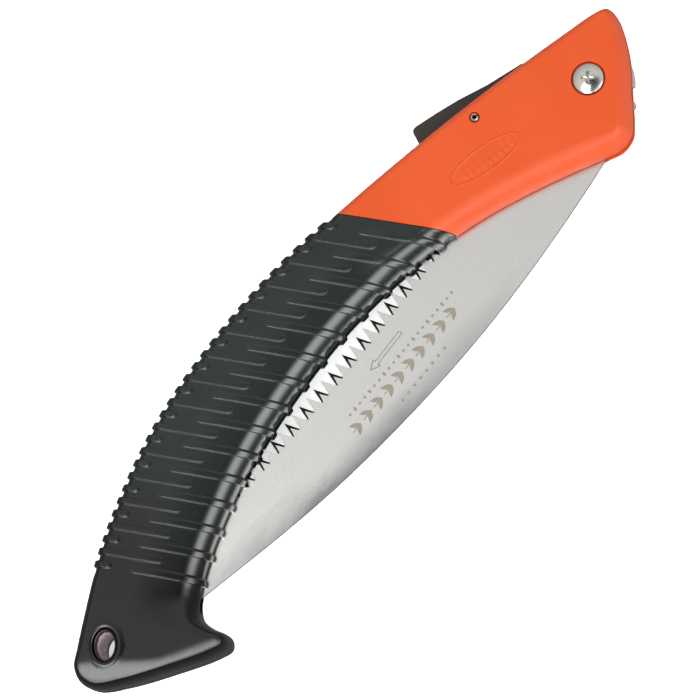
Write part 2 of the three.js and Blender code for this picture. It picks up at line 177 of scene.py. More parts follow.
def turned(points, angle):
    c, s = math.cos(angle), math.sin(angle)
    return points @ np.array([[c, s], [-s, c]])


def ellipse(centre, length, width, slant, count=96):
    return turned(circle(0, 0, 1, count) * (length / 2, width / 2), slant) + centre


def rectangle(left, right, height):
    return np.array([(left, -height / 2), (right, -height / 2), (right, height / 2), (left, height / 2)])


def smoothstep(x):
    x = np.clip(x, 0, 1)
    return x * x * (3 - 2 * x)


def inside(points, polygon):
    """Which points lie inside a polygon, by counting crossings."""
    x, y = points[:, 0][:, None], points[:, 1][:, None]
    ax, ay = polygon[:, 0], polygon[:, 1]
    bx, by = np.roll(ax, -1), np.roll(ay, -1)
    crosses = (ay > y) != (by > y)
    with np.errstate(divide="ignore", invalid="ignore"):
        at = ax + (y - ay) / (by - ay) * (bx - ax)
    return (crosses & (x < at)).sum(1) % 2 == 1


def double_areas(points, triangles):
    """Twice the area of each triangle, negative for a clockwise one."""
    a, b, c = (points[triangles[:, k]][:, :2] for k in range(3))
    return (b - a)[:, 0] * (c - a)[:, 1] - (b - a)[:, 1] * (c - a)[:, 0]


def largest_neighbours(points, triangles, walls):
    """For each triangle, the largest one in the same region, regions being parted by walls."""
    sides = [[frozenset((a, b)), frozenset((b, c)), frozenset((c, a))] for a, b, c in triangles]
    beside = {}
    for i, triangle_sides in enumerate(sides):
        for side in triangle_sides:
            beside.setdefault(side, []).append(i)
    largest = np.full(len(triangles), -1)
    for start in np.argsort(-np.abs(double_areas(points, triangles))):
        if largest[start] >= 0:
            continue
        largest[start] = start
        waiting = [start]
        while waiting:
            for side in sides[waiting.pop()]:
                for other in () if side in walls else beside[side]:
                    if largest[other] < 0:
                        largest[other] = start
                        waiting.append(other)
    return largest


# ---------------------------------------------------------------- meshes
class Mesh:
    """Vertices and faces gathered piece by piece, in millimetres about the pivot."""

    def __init__(self):
        self.points = []
        self.faces = []
        self.slots = []
        self.count = 0

    def add(self, points):
        """Adds points and returns the number of the first."""
        start = self.count
        self.points.append(np.asarray(points, float))
        self.count += len(points)
        return start

    def face(self, indices, slot=0):
        self.faces.append(tuple(int(i) for i in indices))
        self.slots.append(slot)

    def cap(self, points):
        """One face over a ring of points that is counter-clockwise seen from outside."""
        start = self.add(points)
        self.face(range(start, start + len(points)))

    def grid(self, rows, closed=False, slot=0):
        """Faces between rows of points; seen from outside, rows go up and columns go right."""
        rows = np.asarray(rows, float)
        height, width = rows.shape[:2]
        start = self.add(rows.reshape(-1, 3))
        for r in range(height - 1):
            for c in range(width if closed else width - 1):
                n = (c + 1) % width
                a, b = start + r * width + c, start + r * width + n
                self.face((a, b, b + width, a + width), slot)

    def fill(self, loops, holes=(), loose=(), edges=(), up=True, level=0.0, areas=()):
        """A surface over a flat region, shaped by lines of x, y, z.

        The first loop is the rim, holes are loops that stay open, edges are open lines, and loose
        points only shape the surface. level is the height where lines cross, and areas are
        outlines with the material slot inside each.
        """
        given, links = [], []
        for line, closed in [(loop, True) for loop in (*loops, *holes)] + [(edge, False) for edge in edges]:
            base, count = len(given), len(line)
            given += [tuple(point) for point in line]
            links += [(base + i, base + (i + 1) % count) for i in range(count if closed else count - 1)]
        given += [tuple(point) for point in loose]
        flat = [Vector((x, y)) for x, y, _ in given]
        found, lines, triangles, sources, line_sources, _ = delaunay_2d_cdt(flat, links, [], 0, 1e-6)
        points = np.array([[p.x, p.y, level] for p in found])
        for i, source in enumerate(sources):
            if source:
                points[i] = given[source[0]]
        walls = {frozenset(line) for line, source in zip(lines, line_sources) if source}
        triangles = np.array(triangles)
        centres = points[triangles][:, :, :2].mean(1)
        middles = centres[largest_neighbours(points, triangles, walls)]
        keep = inside(middles, np.array(loops[0])[:, :2])
        for hole in holes:
            keep &= ~inside(middles, np.array(hole)[:, :2])
        triangles, centres = triangles[keep], centres[keep]
        slots = np.zeros(len(triangles), int)
        for outline, slot in areas:
            slots[inside(centres, outline)] = slot
        start = self.add(points)
        for triangle, area, slot in zip(triangles, double_areas(points, triangles), slots):
            order = triangle if (area > 0) == up else triangle[::-1]
            self.face([start + i for i in order], slot)

    def mirrored(self):
        other = Mesh()
        other.add(np.vstack(self.points) * np.array([1, 1, -1]))
        other.faces = [face[::-1] for face in self.faces]
        other.slots = list(self.slots)
        return other

    def data(self, name):
        """A Blender mesh in metres in the frame's axes, with doubled points merged."""
        points = np.vstack(self.points)
        keys = np.round(points / 1e-4).astype(np.int64)
        _, first, where = np.unique(keys, axis=0, return_index=True, return_inverse=True)
        where = where.reshape(-1)
        faces, slots, seen = [], [], set()
        for face, slot in zip(self.faces, self.slots):
            ring = [int(where[i]) for i in face]
            ring = [v for i, v in enumerate(ring) if v != ring[i - 1]]
            key = tuple(sorted(ring))
            if len(set(ring)) < 3 or key in seen:
                continue
            seen.add(key)
            faces.append(ring)
            slots.append(slot)
        mesh = bpy.data.meshes.new(name)
        placed = points[first] * MM + np.array(PIVOT)
        mesh.from_pydata(placed.tolist(), [], faces)
        mesh.polygons.foreach_set("material_index", slots)
        mesh.update()
        return mesh


def stacked(rows):
    """A closed body through equal counter-clockwise outlines, from the lowest to the highest."""
    shape = Mesh()
    shape.grid(rows, closed=True)
    shape.fill([rows[0]], up=False)
    shape.fill([rows[-1]])
    return shape


def upright(points, bottom, top):
    return stacked([at_height(points, bottom), at_height(points, top)])


def turned_body(x, y, profile, segments=64):
    """A body turned about an upright line; profile of radius and height, outer side upwards."""
    shape = Mesh()
    shape.grid([at_height(circle(x, y, radius, segments), z) for radius, z in profile], closed=True)
    return shape


def ring_shape(x, y, inner, outer, bottom, top, chamfer=0.1):
    profile = [
        (inner, bottom), (outer - chamfer, bottom), (outer, bottom + chamfer), (outer, top - chamfer),
        (outer - chamfer, top), (inner, top), (inner, bottom),
    ]
    return turned_body(x, y, profile)


def rod_shape(x, y, radius, bottom, top, chamfer=0.2):
    profile = [
        (0.0, bottom), (radius - chamfer, bottom), (radius, bottom + chamfer), (radius, top - chamfer),
        (radius - chamfer, top), (0.0, top),
    ]
    return turned_body(x, y, profile, 40)


def new_object(name, mesh):
    obj = bpy.data.objects.new(name, mesh)
    bpy.context.scene.collection.objects.link(obj)
    return obj


def cut(obj, cutters, operation="DIFFERENCE"):
    """Joins or cuts an object's mesh with other closed meshes and keeps only the result."""
    for cutter in cutters:
        tool = new_object("cutter", cutter.data("cutter"))
        modifier = obj.modifiers.new("cut", "BOOLEAN")
        modifier.operation = operation
        modifier.solver = "MANIFOLD"
        modifier.object = tool
        depsgraph = bpy.context.evaluated_depsgraph_get()
        result = bpy.data.meshes.new_from_object(obj.evaluated_get(depsgraph))
        obj.modifiers.clear()
        obj.data = result
        bpy.data.objects.remove(tool)


def make_piece(node, detail, shape, materials, joined=(), cutters=(), body="handle", angle=32):
    """The detailed piece that replaces a node: its shape, joined and cut, on its body."""
    obj = new_object(f"{node}_{detail}", shape.data(node))
    cut(obj, joined, "UNION")
    cut(obj, cutters)
    mesh = obj.data
    mesh.polygons.foreach_set("use_smooth", [True] * len(mesh.polygons))
    mesh.set_sharp_from_angle(angle=math.radians(angle))
    kept = [polygon.material_index for polygon in mesh.polygons]
    mesh.materials.clear()
    for item in materials:
        mesh.materials.append(item)
    mesh.polygons.foreach_set("material_index", [min(i, len(materials) - 1) for i in kept])
    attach(obj, body)
    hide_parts(node)


# ---------------------------------------------------------------- the handle's edge
RIB_SLANT = math.radians(27.8)
ACROSS = np.array([math.cos(RIB_SLANT), math.sin(RIB_SLANT)])  # square to the ribs
ALONG = np.array([math.sin(RIB_SLANT), -math.cos(RIB_SLANT)])  # spine to belly

EDGE_SPACING = 0.125
EDGE_SMOOTHING = 16  # points
EDGE = evenly(through(HANDLE_OUTLINE, 40), EDGE_SPACING)
EDGE = np.roll(EDGE, -int(np.argmax(EDGE[:, :2] @ ACROSS)), axis=0)  # starts at the front end
EDGE_XY = EDGE[:, :2]
EDGE_REACH = smoothed(EDGE[:, 2], EDGE_SMOOTHING)
EDGE_OUT = to_the_right(units(smoothed(ways_along(EDGE_XY), EDGE_SMOOTHING)))
TAIL_AT = int(np.argmin(EDGE_XY @ ACROSS))

# Rings of the edge, upwards: a fixed inset, a share of the local reach, and a height.
ROUND_STEPS = 16
UPRIGHT_RINGS = [
    (0.14, 0.0, PARTING_Z), (0.05, 0.0, PARTING_Z + 0.05), (0.0, 0.0, PARTING_Z + 0.15), (0.0, 0.0, 1.1),
]
ROUND_TURNS = np.linspace(0, math.pi / 2, ROUND_STEPS + 1)
RINGS = UPRIGHT_RINGS + [(0.0, 1 - math.cos(t), STRAIGHT_Z + ROUND_HEIGHT * math.sin(t)) for t in ROUND_TURNS]

# The face falls away past a line across the tail, and more of it towards the hook.
TAIL_LINE = (-264.5, -9.0)
TAIL_WAY = (-0.77, -0.63)
HOOK_WAY = (0.63, -0.77)
HOOK_BLEND = 3.0
HOOK_SHARE = 0.175
TAIL_SLOPE = 0.1
TAIL_BEND = 0.8
TAIL_CURVE = 0.011


def tail_drop(x, y):
    """How far the face falls away towards the very end of the handle."""
    x, y = x - TAIL_LINE[0], y - TAIL_LINE[1]
    aside = x * HOOK_WAY[0] + y * HOOK_WAY[1] + HOOK_BLEND
    past = x * TAIL_WAY[0] + y * TAIL_WAY[1]
    past = past + HOOK_SHARE * (aside + np.sqrt(aside ** 2 + HOOK_BLEND ** 2))
    past = np.clip(past, 0, None)
    return TAIL_SLOPE * past ** 2 / (past + TAIL_BEND) + TAIL_CURVE * past ** 2


def lowered(points):
    """The tail's fall, full at the face and none at the upright part of the edge."""
    share = np.clip((points[..., 2] - STRAIGHT_Z) / ROUND_HEIGHT, 0, 1)
    points[..., 2] -= share * tail_drop(points[..., 0], points[..., 1])
    return points


def ring_points(ring):
    """One ring of the rounding all round the handle: points and outward normals."""
    inset, share, height = ring
    flat = EDGE_XY - EDGE_OUT * (inset + share * EDGE_REACH)[:, None]
    tilt = math.acos(1 - share)
    level = math.sin(tilt) / ROUND_HEIGHT
    upright_part = math.cos(tilt) / EDGE_REACH
    size = np.hypot(level, upright_part)
    normal = np.column_stack([EDGE_OUT * (upright_part / size)[:, None], level / size])
    return at_height(flat, height), normal


def crossing(ring, distance, spine):
    """Where a ring crosses the line along the ribs at a distance: a fractional place on it."""
    run = np.arange(TAIL_AT) if spine else np.arange(TAIL_AT, len(EDGE_XY))
    reach = (ring[:, :2] @ ACROSS)[run]
    if spine:
        return np.interp(-np.asarray(distance), -np.minimum.accumulate(reach), run)
    return np.interp(distance, np.maximum.accumulate(reach), run)


def at_places(values, places):
    """Values round a closed line at fractional places."""
    low = np.floor(places).astype(int)
    share = (places - low)[:, None]
    count = len(values)
    return values[low % count] * (1 - share) + values[(low + 1) % count] * share


# ---------------------------------------------------------------- the ribs
GRIP_EDGE = -64.3
FIRST_RIB = -69.4
RIB_PITCH = 4.936
RIB_COUNT = 29
TAIL_EDGE = FIRST_RIB - RIB_COUNT * RIB_PITCH - 1.0  # past the last rib

RIB_WIDTH = 3.2
RIB_FRONT_EDGE = 0.9
RIB_TAIL_EDGE = 0.35
SPINE_RIB_LENGTH = 5.7
LONG_RIB_SHARE = 0.62  # the long ribs end at this share of the handle's width
BELLY_RIB_SHARE = 0.36  # and the belly ribs start at this one
RIB_END = 1.5  # the rounding of a long rib's end
BELLY_RIB_START = 0.45  # share of its height where a belly rib starts
BELLY_RIB_RISE = 9.0  # the length over which it rises to the full height
RIB_HEIGHT = 0.34  # on the flat of the face
RIB_EDGE_RISE = 0.46  # and this much more at the handle's outer edges
RIB_EDGE_SINK = 0.3  # the rubber between the ribs is this much lower there
RIB_CORNER = 0.3  # squares the ribs off along the spine


def bar(offset, beyond):
    """Height of a raised bar, 0 to 1: offset across it, beyond past its round end."""
    distance = np.hypot(offset, np.clip(beyond, 0, None))
    edge = np.where(offset > 0, RIB_FRONT_EDGE, RIB_TAIL_EDGE)
    return smoothstep((RIB_WIDTH / 2 - distance) / edge)


def rib_height(distance, along, spine, belly, crown, corner=0.0):
    """How proud the ribs stand at a place, in millimetres.

    crown goes from 0 on the flat of the face to 1 at the handle's outer edges, and corner is the
    extra height that squares the ribs off along the spine.
    """
    width = belly - spine
    from_spine = along - spine
    height = np.zeros_like(along)
    for i in range(RIB_COUNT):
        offset = distance - (FIRST_RIB - i * RIB_PITCH)
        if i % 2 == 1:
            rib = bar(offset, from_spine - (LONG_RIB_SHARE * width - RIB_END))
        else:
            past_start = from_spine - (BELLY_RIB_SHARE * width + RIB_WIDTH / 2)
            rise = BELLY_RIB_START + (1 - BELLY_RIB_START) * smoothstep(past_start / BELLY_RIB_RISE)
            rib = np.maximum(bar(offset, from_spine - SPINE_RIB_LENGTH), bar(offset, -past_start) * rise)
        height = np.maximum(height, rib)
    edge = crown ** 0.6
    fade = smoothstep((GRIP_EDGE - 0.6 - distance) / 1.5) * smoothstep((distance - TAIL_EDGE) / 3)
    low = -RIB_EDGE_SINK * edge * fade
    high = RIB_HEIGHT + RIB_EDGE_RISE * edge + corner
    return low + (high - low) * height


# ---------------------------------------------------------------- rubber grip
FACE_COLUMNS = 92
TAIL_COLUMNS = 330
TAIL_FACE_X = (-292, -226)
TAIL_FACE_Y = (-26, 40)
FACE_GRID = 1.3  # spacing of the loose points that shape the tail's face
RIM_CLEARANCE = 0.8  # and how far they keep from its rims
SLICE_SPACING = 0.5
# Cross lines of one rib from its middle line, towards the front and towards the tail.
SLICE_OFFSETS = np.concatenate([
    [2.4, 2.0], np.linspace(1.7, 0.65, 8), [0, -0.8], np.linspace(-1.22, -1.62, 6), [-1.75, -2.1],
])
BELLY_FALL_REACH = 24.0  # the face bends down this far from the belly
BELLY_FALL = 0.0055
BELLY_FADE = 13.0  # and stops doing so this far past the last rib
FRONT_FADE = 22.0  # or before the grip's front edge

# The collar round the lanyard hole: how far outside the hole, and how proud of the face.
COLLAR = [
    (2.1, 0.0), (1.9, 0.1), (1.65, 0.16), (1.0, 0.16), (0.7, 0.08), (0.45, -0.02), (0.2, -0.18),
    (0.05, -0.45), (0.0, -0.8),
]


def lanyard_oval(grow):
    return ellipse(LANYARD_HOLE, EYELET_LENGTH + 2 * grow, EYELET_WIDTH + 2 * grow, LANYARD_SLANT, 72)


def rib_slices():
    """Distances of the grip's cross lines from its front, closest together on the ribs' sides."""
    before = np.arange(GRIP_EDGE - GAP, FIRST_RIB + RIB_PITCH / 2, -SLICE_SPACING)
    ribs = [FIRST_RIB - i * RIB_PITCH + SLICE_OFFSETS for i in range(RIB_COUNT)]
    after = np.arange(ribs[-1][-1] - SLICE_SPACING, TAIL_EDGE, -SLICE_SPACING)
    return np.concatenate([before, *ribs, after])


def bent_down(points, slices, belly_along):
    """The face's soft fall towards the belly, fading out past the last rib and at the front."""
    distance = points[..., :2] @ ACROSS
    belly = np.interp(distance, slices[::-1], belly_along[::-1])
    near = np.clip(BELLY_FALL_REACH - (belly - points[..., :2] @ ALONG), 0, BELLY_FALL_REACH)
    share = np.clip((points[..., 2] - STRAIGHT_Z) / ROUND_HEIGHT, 0, 1.1)
    fade = smoothstep((GRIP_EDGE - distance) / FRONT_FADE)
    fade = fade * smoothstep((distance - slices[-1]) / BELLY_FADE + 1)
    points[..., 2] -= BELLY_FALL * near ** 2 * share * fade
    return points


def rib_rows(rings, slices, spine_along, belly_along):
    """The ribbed stretch, in rows from one parting edge over the spine and the face to the other."""
    sides = {}
    for spine in (True, False):
        sides[spine] = []
        for level, (points, normals) in enumerate(rings):
            places = crossing(points, slices, spine)
            here = at_places(points, places)
            crown = 1 - max(0, level - 3) / (ROUND_STEPS + 1)
            tilt = math.acos(1 - RINGS[level][1])
            corner = RIB_CORNER * math.sin(2 * tilt) ** 2 if spine else 0.0
            proud = rib_height(slices, here[:, :2] @ ALONG, spine_along, belly_along, crown, corner)
            sides[spine].append(here + at_places(normals, places) * proud[:, None])
    top = rings[-1][0]
    start, stop = (at_places(top, crossing(top, slices, spine)) for spine in (True, False))
    face = []
    for share in np.linspace(0, 1, FACE_COLUMNS + 1)[1:-1]:
        here = start * (1 - share) + stop * share
        here[:, 2] += rib_height(slices, here[:, :2] @ ALONG, spine_along, belly_along, 0.0)
        face.append(here)
    return np.array(sides[True] + face + sides[False][::-1])


def tail_rows(rings, last_slice):
    """Rings round the hook and the end of the handle, from the spine round to the belly."""
    share = np.linspace(0, 1, TAIL_COLUMNS + 1)
    rows = []
    for points, _ in rings:
        begin, end = (crossing(points, [last_slice], spine)[0] for spine in (True, False))
        rows.append(at_places(points, begin + (end - begin) * share))
    return np.array(rows)


def collar_rims():
    """Rims of the collar round the lanyard hole, inwards, and the hole at the parting plane."""
    rims = []
    for grow, rise in COLLAR:
        rim = lanyard_oval(GAP + grow)
        rims.append(at_height(rim, FACE_Z + rise - tail_drop(rim[:, 0], rim[:, 1])))
    rims.append(at_height(lanyard_oval(GAP), PARTING_Z))
    return np.array(rims)


def loose_points(rim, hole):
    """Points on the tail's face, clear of its rim and of the hole in it."""
    columns = np.arange(*TAIL_FACE_X, FACE_GRID)
    rows = np.arange(*TAIL_FACE_Y, FACE_GRID)
    loose = np.array([(x, y + round(x / FACE_GRID) % 2 * FACE_GRID / 2) for x in columns for y in rows])
    keep = inside(loose, rim[:, :2]) & ~inside(loose, hole[:, :2])
    for line in (rim, hole):
        keep &= np.linalg.norm(loose[:, None] - line[None, :, :2], axis=2).min(1) > RIM_CLEARANCE
    loose = loose[keep]
    return at_height(loose, FACE_Z - tail_drop(loose[:, 0], loose[:, 1]))


def grip_half():
    """The near half of the rubber grip as one closed mesh, before its slot is cut."""
    slices = rib_slices()
    rings = [ring_points(ring) for ring in RINGS]
    edge = rings[len(UPRIGHT_RINGS) - 1][0]
    spine_along, belly_along = (
        at_places(edge, crossing(edge, slices, spine))[:, :2] @ ALONG for spine in (True, False)
    )
    rows = rib_rows(rings, slices, spine_along, belly_along)
    rows = bent_down(lowered(rows), slices, belly_along)
    shape = Mesh()
    shape.grid(rows)
    shape.grid([rows[-1], rows[0]])  # the flat underside of the ribbed stretch
    shape.cap(rows[:, 0])  # its end against the orange shells

    tail = bent_down(lowered(tail_rows(rings, slices[-1])), slices, belly_along)
    for level in range(len(rings)):
        tail[level][0] = rows[level][-1]
        tail[level][-1] = rows[-1 - level][-1]
    shape.grid(tail)
    rims = collar_rims()
    shape.grid(rims[::-1, ::-1], closed=True)
    inner = rows[len(rings) : -len(rings), -1]
    rim = np.vstack([tail[-1], inner[::-1]])
    loose = bent_down(loose_points(rim, rims[0]), slices, belly_along)
    shape.fill([rim], holes=[rims[0]], loose=loose)
    shape.fill([tail[0]], holes=[rims[-1]], up=False)
    return shape


# ---------------------------------------------------------------- orange shell
BADGE = np.array([-46.6, 11.9])
BADGE_SLANT = math.radians(-17)
BADGE_LENGTH = 31.0
BADGE_WIDTH = 9.3
BADGE_LINE = [(0.65, 0.0), (0.4, 0.0), (0.13, 0.2), (-0.13, 0.2), (-0.4, 0.0), (-0.65, 0.0)]  # grow, rise
BADGE_LEAVES = 9
BADGE_LEAF_PITCH = 2.6
BADGE_LEAF_WIDTH = 1.15
BADGE_LEAF_LENGTH = 3.0
BADGE_LEAF_TURN = math.radians(52)
SHELL_COLUMNS = 460

# Round recesses of the shells' faces: radius and depth, inwards.
BOLT_RECESS = [(7.1, 0), (6.75, 0), (6.58, 0.05), (6.47, 0.18), (6.42, 0.4), (6.4, 2.0)]
NUT_RECESS = [(7.8, 0), (7.5, 0), (7.3, 0.06), (7.2, 0.2), (7.17, 0.4), (7.14, 2.2)]
PIN_RECESS = [(2.6, 0), (2.25, 0), (2.1, 0.08), (2.02, 0.25), (2.0, 1.2)]

BLADE_SLOT = [
    (60, -90), (60, 90), (-61, 90), (-61, 27), (-80, 31), (-110, 37), (-140, 40.5), (-170, 41),
    (-200, 38), (-222, 33.5), (-238, 28),
]
SLOT_END_RADIUS = 243.8
LEVER_POCKET = [
    (-6, 21.5), (-6, 60), (-60.8, 60), (-60.8, 26), (-54.5, 20.3), (-46.5, 20.3), (-44.5, 19),
    (-31, 18.6), (-25, 21.3),
]
PIN_HOLE_FIT = 0.1
# Wells over the far side's screws: radius, bottom and top.
SHELL_WELL = (3.4, -THROUGH_Z, -6.9)
RUBBER_WELL = (3.7, -THROUGH_Z, -5.0)
# The shells' core, which the rubber wraps.
CORE_OUTLINE = [
    (-56, 34), (-80, 39.5), (-96, 42.7), (-112, 45.9), (-130, 48.3), (-150, 49.7), (-168, 49.8),
    (-184, 49.1), (-200, 47.3), (-216, 44), (-232, 39.6), (-246, 35), (-257, 30.7), (-269, 25),
    (-281, 18.6), (-286, 14), (-286, 9), (-279, 1.5), (-266, -8), (-256, -13), (-249, -9),
    (-244, -2.5), (-234, 2.6), (-222, 7.1), (-208, 11.2), (-194, 14.4), (-178, 17), (-162, 18.4),
    (-146, 19), (-130, 18.6), (-114, 17.1), (-98, 14.4), (-80, 9.9), (-56, 2.5),
]
CORE_INSET = 2.2
CORE_TOP = 7.9
CORE_FIT = 0.05  # between the core and the rubber


def leaf_outline(length, width, count=14):
    """A pointed leaf along X, from its stalk at the origin."""
    share = np.linspace(0, 1, count)
    half = width / 2 * np.sin(np.pi * share ** 0.85)
    upper = np.stack([share * length, half], 1)
    lower = np.stack([share * length, -half], 1)[-2:0:-1]
    return np.vstack([upper, lower])[::-1]


def badge_loops(height):
    """The badge's raised oval line and, inside it, a plain sprig of leaves."""
    loops = []
    for grow, rise in BADGE_LINE:
        line = ellipse(BADGE, BADGE_LENGTH + 2 * grow, BADGE_WIDTH + 2 * grow, BADGE_SLANT)
        loops.append(at_height(line, height + rise))
    for i in range(BADGE_LEAVES):
        x = BADGE_LEAF_PITCH * (i - (BADGE_LEAVES - 1) / 2)
        for side in (1, -1):
            length = BADGE_LEAF_LENGTH * math.sqrt(1 - (2 * x / (BADGE_LENGTH - 1)) ** 2)
            leaf = leaf_outline(length, BADGE_LEAF_WIDTH)
            middle = leaf.mean(0)
            for shrink, rise in ((1.0, 0.0), (0.5, 0.12)):
                points = (leaf - middle) * shrink + middle
                points = turned(points, side * BADGE_LEAF_TURN) + (x, side * 0.35)
                loops.append(at_height(turned(points, BADGE_SLANT) + BADGE, height + rise))
    return loops


def shell_half(bolt_recess):
    """One orange shell as one closed mesh, before the slot and the pocket are cut."""
    shape = Mesh()
    share = np.linspace(0, 1, SHELL_COLUMNS + 1)
    rings = []
    for points, _ in (ring_points(ring) for ring in RINGS):
        begin, end = (crossing(points, [GRIP_EDGE], spine)[0] for spine in (False, True))
        rings.append(at_places(points, begin + (end + len(points) - begin) * share))
    rings = np.array(rings)
    shape.grid(rings)
    shape.cap(np.vstack([rings[:, -1], rings[::-1, 0]])[::-1])
    loops = [rings[-1]]
    for x, y, recess, count in ((0, 0, bolt_recess, 72), (*LEVER_PIVOT, PIN_RECESS, 32)):
        loops += [at_height(circle(x, y, radius, count), FACE_Z - depth) for radius, depth in recess]
    loops += badge_loops(FACE_Z)
    shape.fill(loops, level=FACE_Z)
    shape.fill([rings[0]], up=False, level=PARTING_Z)
    return shape


def slot_cutter():
    angles = np.radians(np.arange(174, 197))
    end = SLOT_END_RADIUS * np.stack([np.cos(angles), np.sin(angles)], 1)
    return upright(np.vstack([BLADE_SLOT, end]), -SLOT_Z, SLOT_Z)


def pocket_cutter():
    return upright(np.array(LEVER_POCKET), -POCKET_Z, POCKET_Z)


def core_block(grow, bottom, top):
    """A block over the core's outline, grown by a margin."""
    line = through(CORE_OUTLINE, 4)
    return upright(line + to_the_right(ways_along(line)) * grow, bottom, top)


# ---------------------------------------------------------------- blade
BLADE_Z = 0.625
TANG_RADIUS = 15.9
TOOTH_PITCH = 4.16
TOOTH_COUNT = 49
TOOTH_DEPTH = 5.8
FACET_CROTCH = 3.3  # the two facets of a tooth meet this far below its tip
FACET_END = (1.5, -0.8)  # a facet's lowest and innermost corners, from the middle of the gullets' line
FACET_INNER = (0.85, 0.5)
TOOTH_TIP_Z = 0.2  # the teeth are ground from alternate sides down to here
GULLET_SHIFT = 0.5 * TOOTH_PITCH - 0.2
FIRST_TOOTH_X = -36.3
TOOTH_LINE_X = -118.0  # the row of teeth is lowest here
TOOTH_LINE_Y = 12.4
TIP_BEND = 0.00048
HEEL_BEND = 0.0002
BLADE_HEEL = (FIRST_TOOTH_X + 4.5, 13.0)  # where the teeth end, by the tang

PLAIN_EDGE = (BLADE_Z, -BLADE_Z, 0.04, 0.05)  # near face, far face, chamfer inset and height
TOOTH_CHAMFER = (0.02, 0.03)
FACE, GROUND, ETCHED, SHEARED = range(4)  # the blade's material slots

TANG_NOTCH = [(8.2, -13.6), (6.2, -11.7), (4.4, -12.9), (4.3, -16.4), (3.5, -17.9), (1.6, -18.4), (-8, -20.1)]
BLADE_BACK = [
    (-8, -20.1), (-20, -21.7), (-40, -23.5), (-62, -24.8), (-83, -25.3), (-104, -25), (-128, -23.5),
    (-152, -21), (-176, -17.5), (-200, -12.7), (-224, -6.9), (-238.4, -3.3),
]
BLADE_TIP = [(-238.4, -3.3), (-240.3, -2.4), (-241, -0.8), (-241.9, 10), (-241.6, 15.5), (-240.2, 18)]
# Rows of etched marks: how many, the first one's place and the step to the next.
LEAF_ROW = (10, (-97, -10.9), (-6.1, 0.122))
DASH_ROW = (22, (-93, -6.4), (-2.8, 0.084))
DOT_ROW = (8, (-111, -17.3), (-3.5, 0.042))
ARROW = [
    (-134.6, -0.3), (-130.4, -2.5), (-130.4, -1.2), (-116, -1.2), (-116, 0.6), (-130.4, 0.6), (-130.4, 1.9),
]
ARROW_INSIDE = [
    (-133.6, -0.3), (-130.9, -1.7), (-130.9, -0.8), (-116.4, -0.8), (-116.4, 0.2), (-130.9, 0.2),
    (-130.9, 1.1),
]


def tooth_line(x):
    bend = TIP_BEND if x < TOOTH_LINE_X else HEEL_BEND
    return TOOTH_LINE_Y + bend * (x - TOOTH_LINE_X) ** 2


def blade_edge():
    """The blade's outline, counter-clockwise, as rows of
    x, y, near-face height, far-face height, chamfer inset, chamfer height."""
    angles = [math.radians(degrees) for degrees in range(126, -60, -3)]
    points = [(TANG_RADIUS * math.cos(a), TANG_RADIUS * math.sin(a)) for a in angles]
    points += list(through(TANG_NOTCH, 6, closed=False)[6:-1])
    points += list(through(BLADE_BACK, 10, closed=False))
    points += list(through(BLADE_TIP, 5, closed=False)[1:-1])
    rows = [(x, y, *PLAIN_EDGE) for x, y in points]
    for i in reversed(range(TOOTH_COUNT)):
        x = FIRST_TOOTH_X - i * TOOTH_PITCH
        near, far = (-TOOTH_TIP_Z, -BLADE_Z) if i % 2 == 0 else (BLADE_Z, TOOTH_TIP_Z)
        for shift, drop in ((-GULLET_SHIFT, TOOTH_DEPTH), (0, 0), (GULLET_SHIFT, TOOTH_DEPTH)):
            rows.append((x + shift, tooth_line(x) - drop, near, far, *TOOTH_CHAMFER))
    rows.append((*BLADE_HEEL, *PLAIN_EDGE))
    return np.array(rows)[::-1]


def facet_outlines(side):
    """The ground facets of one face: for each, its tip, gullet, end, inner corner and crotch."""
    facets = []
    for i in range(0 if side > 0 else 1, TOOTH_COUNT, 2):
        x = FIRST_TOOTH_X - i * TOOTH_PITCH
        y = tooth_line(x)
        for hand in (-1, 1):
            gullet = (x + hand * GULLET_SHIFT, y - TOOTH_DEPTH)
            end, inner = ((x + hand * dx, y - TOOTH_DEPTH + dy) for dx, dy in (FACET_END, FACET_INNER))
            facets.append(((x, y), gullet, end, inner, (x, y - FACET_CROTCH)))
    return facets


def in_a_row(count, first, step):
    return [np.array(first) + i * np.array(step) for i in range(count)]


def etched_marks():
    """Plain marks etched in the blade, each an outline and its slot: a sprig of leaves, a rule of
    dashes, a row of dots and an open arrow."""
    marks = []
    leaf = leaf_outline(5.0, 1.9, 9)
    for place in in_a_row(*LEAF_ROW):
        for side in (1, -1):
            marks.append(turned(leaf, math.pi - side * math.radians(40)) + place - (0, side * 0.45))
        marks.append(rectangle(-4.5, 0.1, 0.44) + place)
    for i, place in enumerate(in_a_row(*DASH_ROW)):
        marks.append(rectangle(-0.5, 0.5, 1.5 if i % 3 == 2 else 0.9) + place)
    for x, y in in_a_row(*DOT_ROW):
        marks.append(circle(x, y, 0.62, 12))
    return [(mark, ETCHED) for mark in marks] + [(np.array(ARROW), ETCHED), (np.array(ARROW_INSIDE), FACE)]


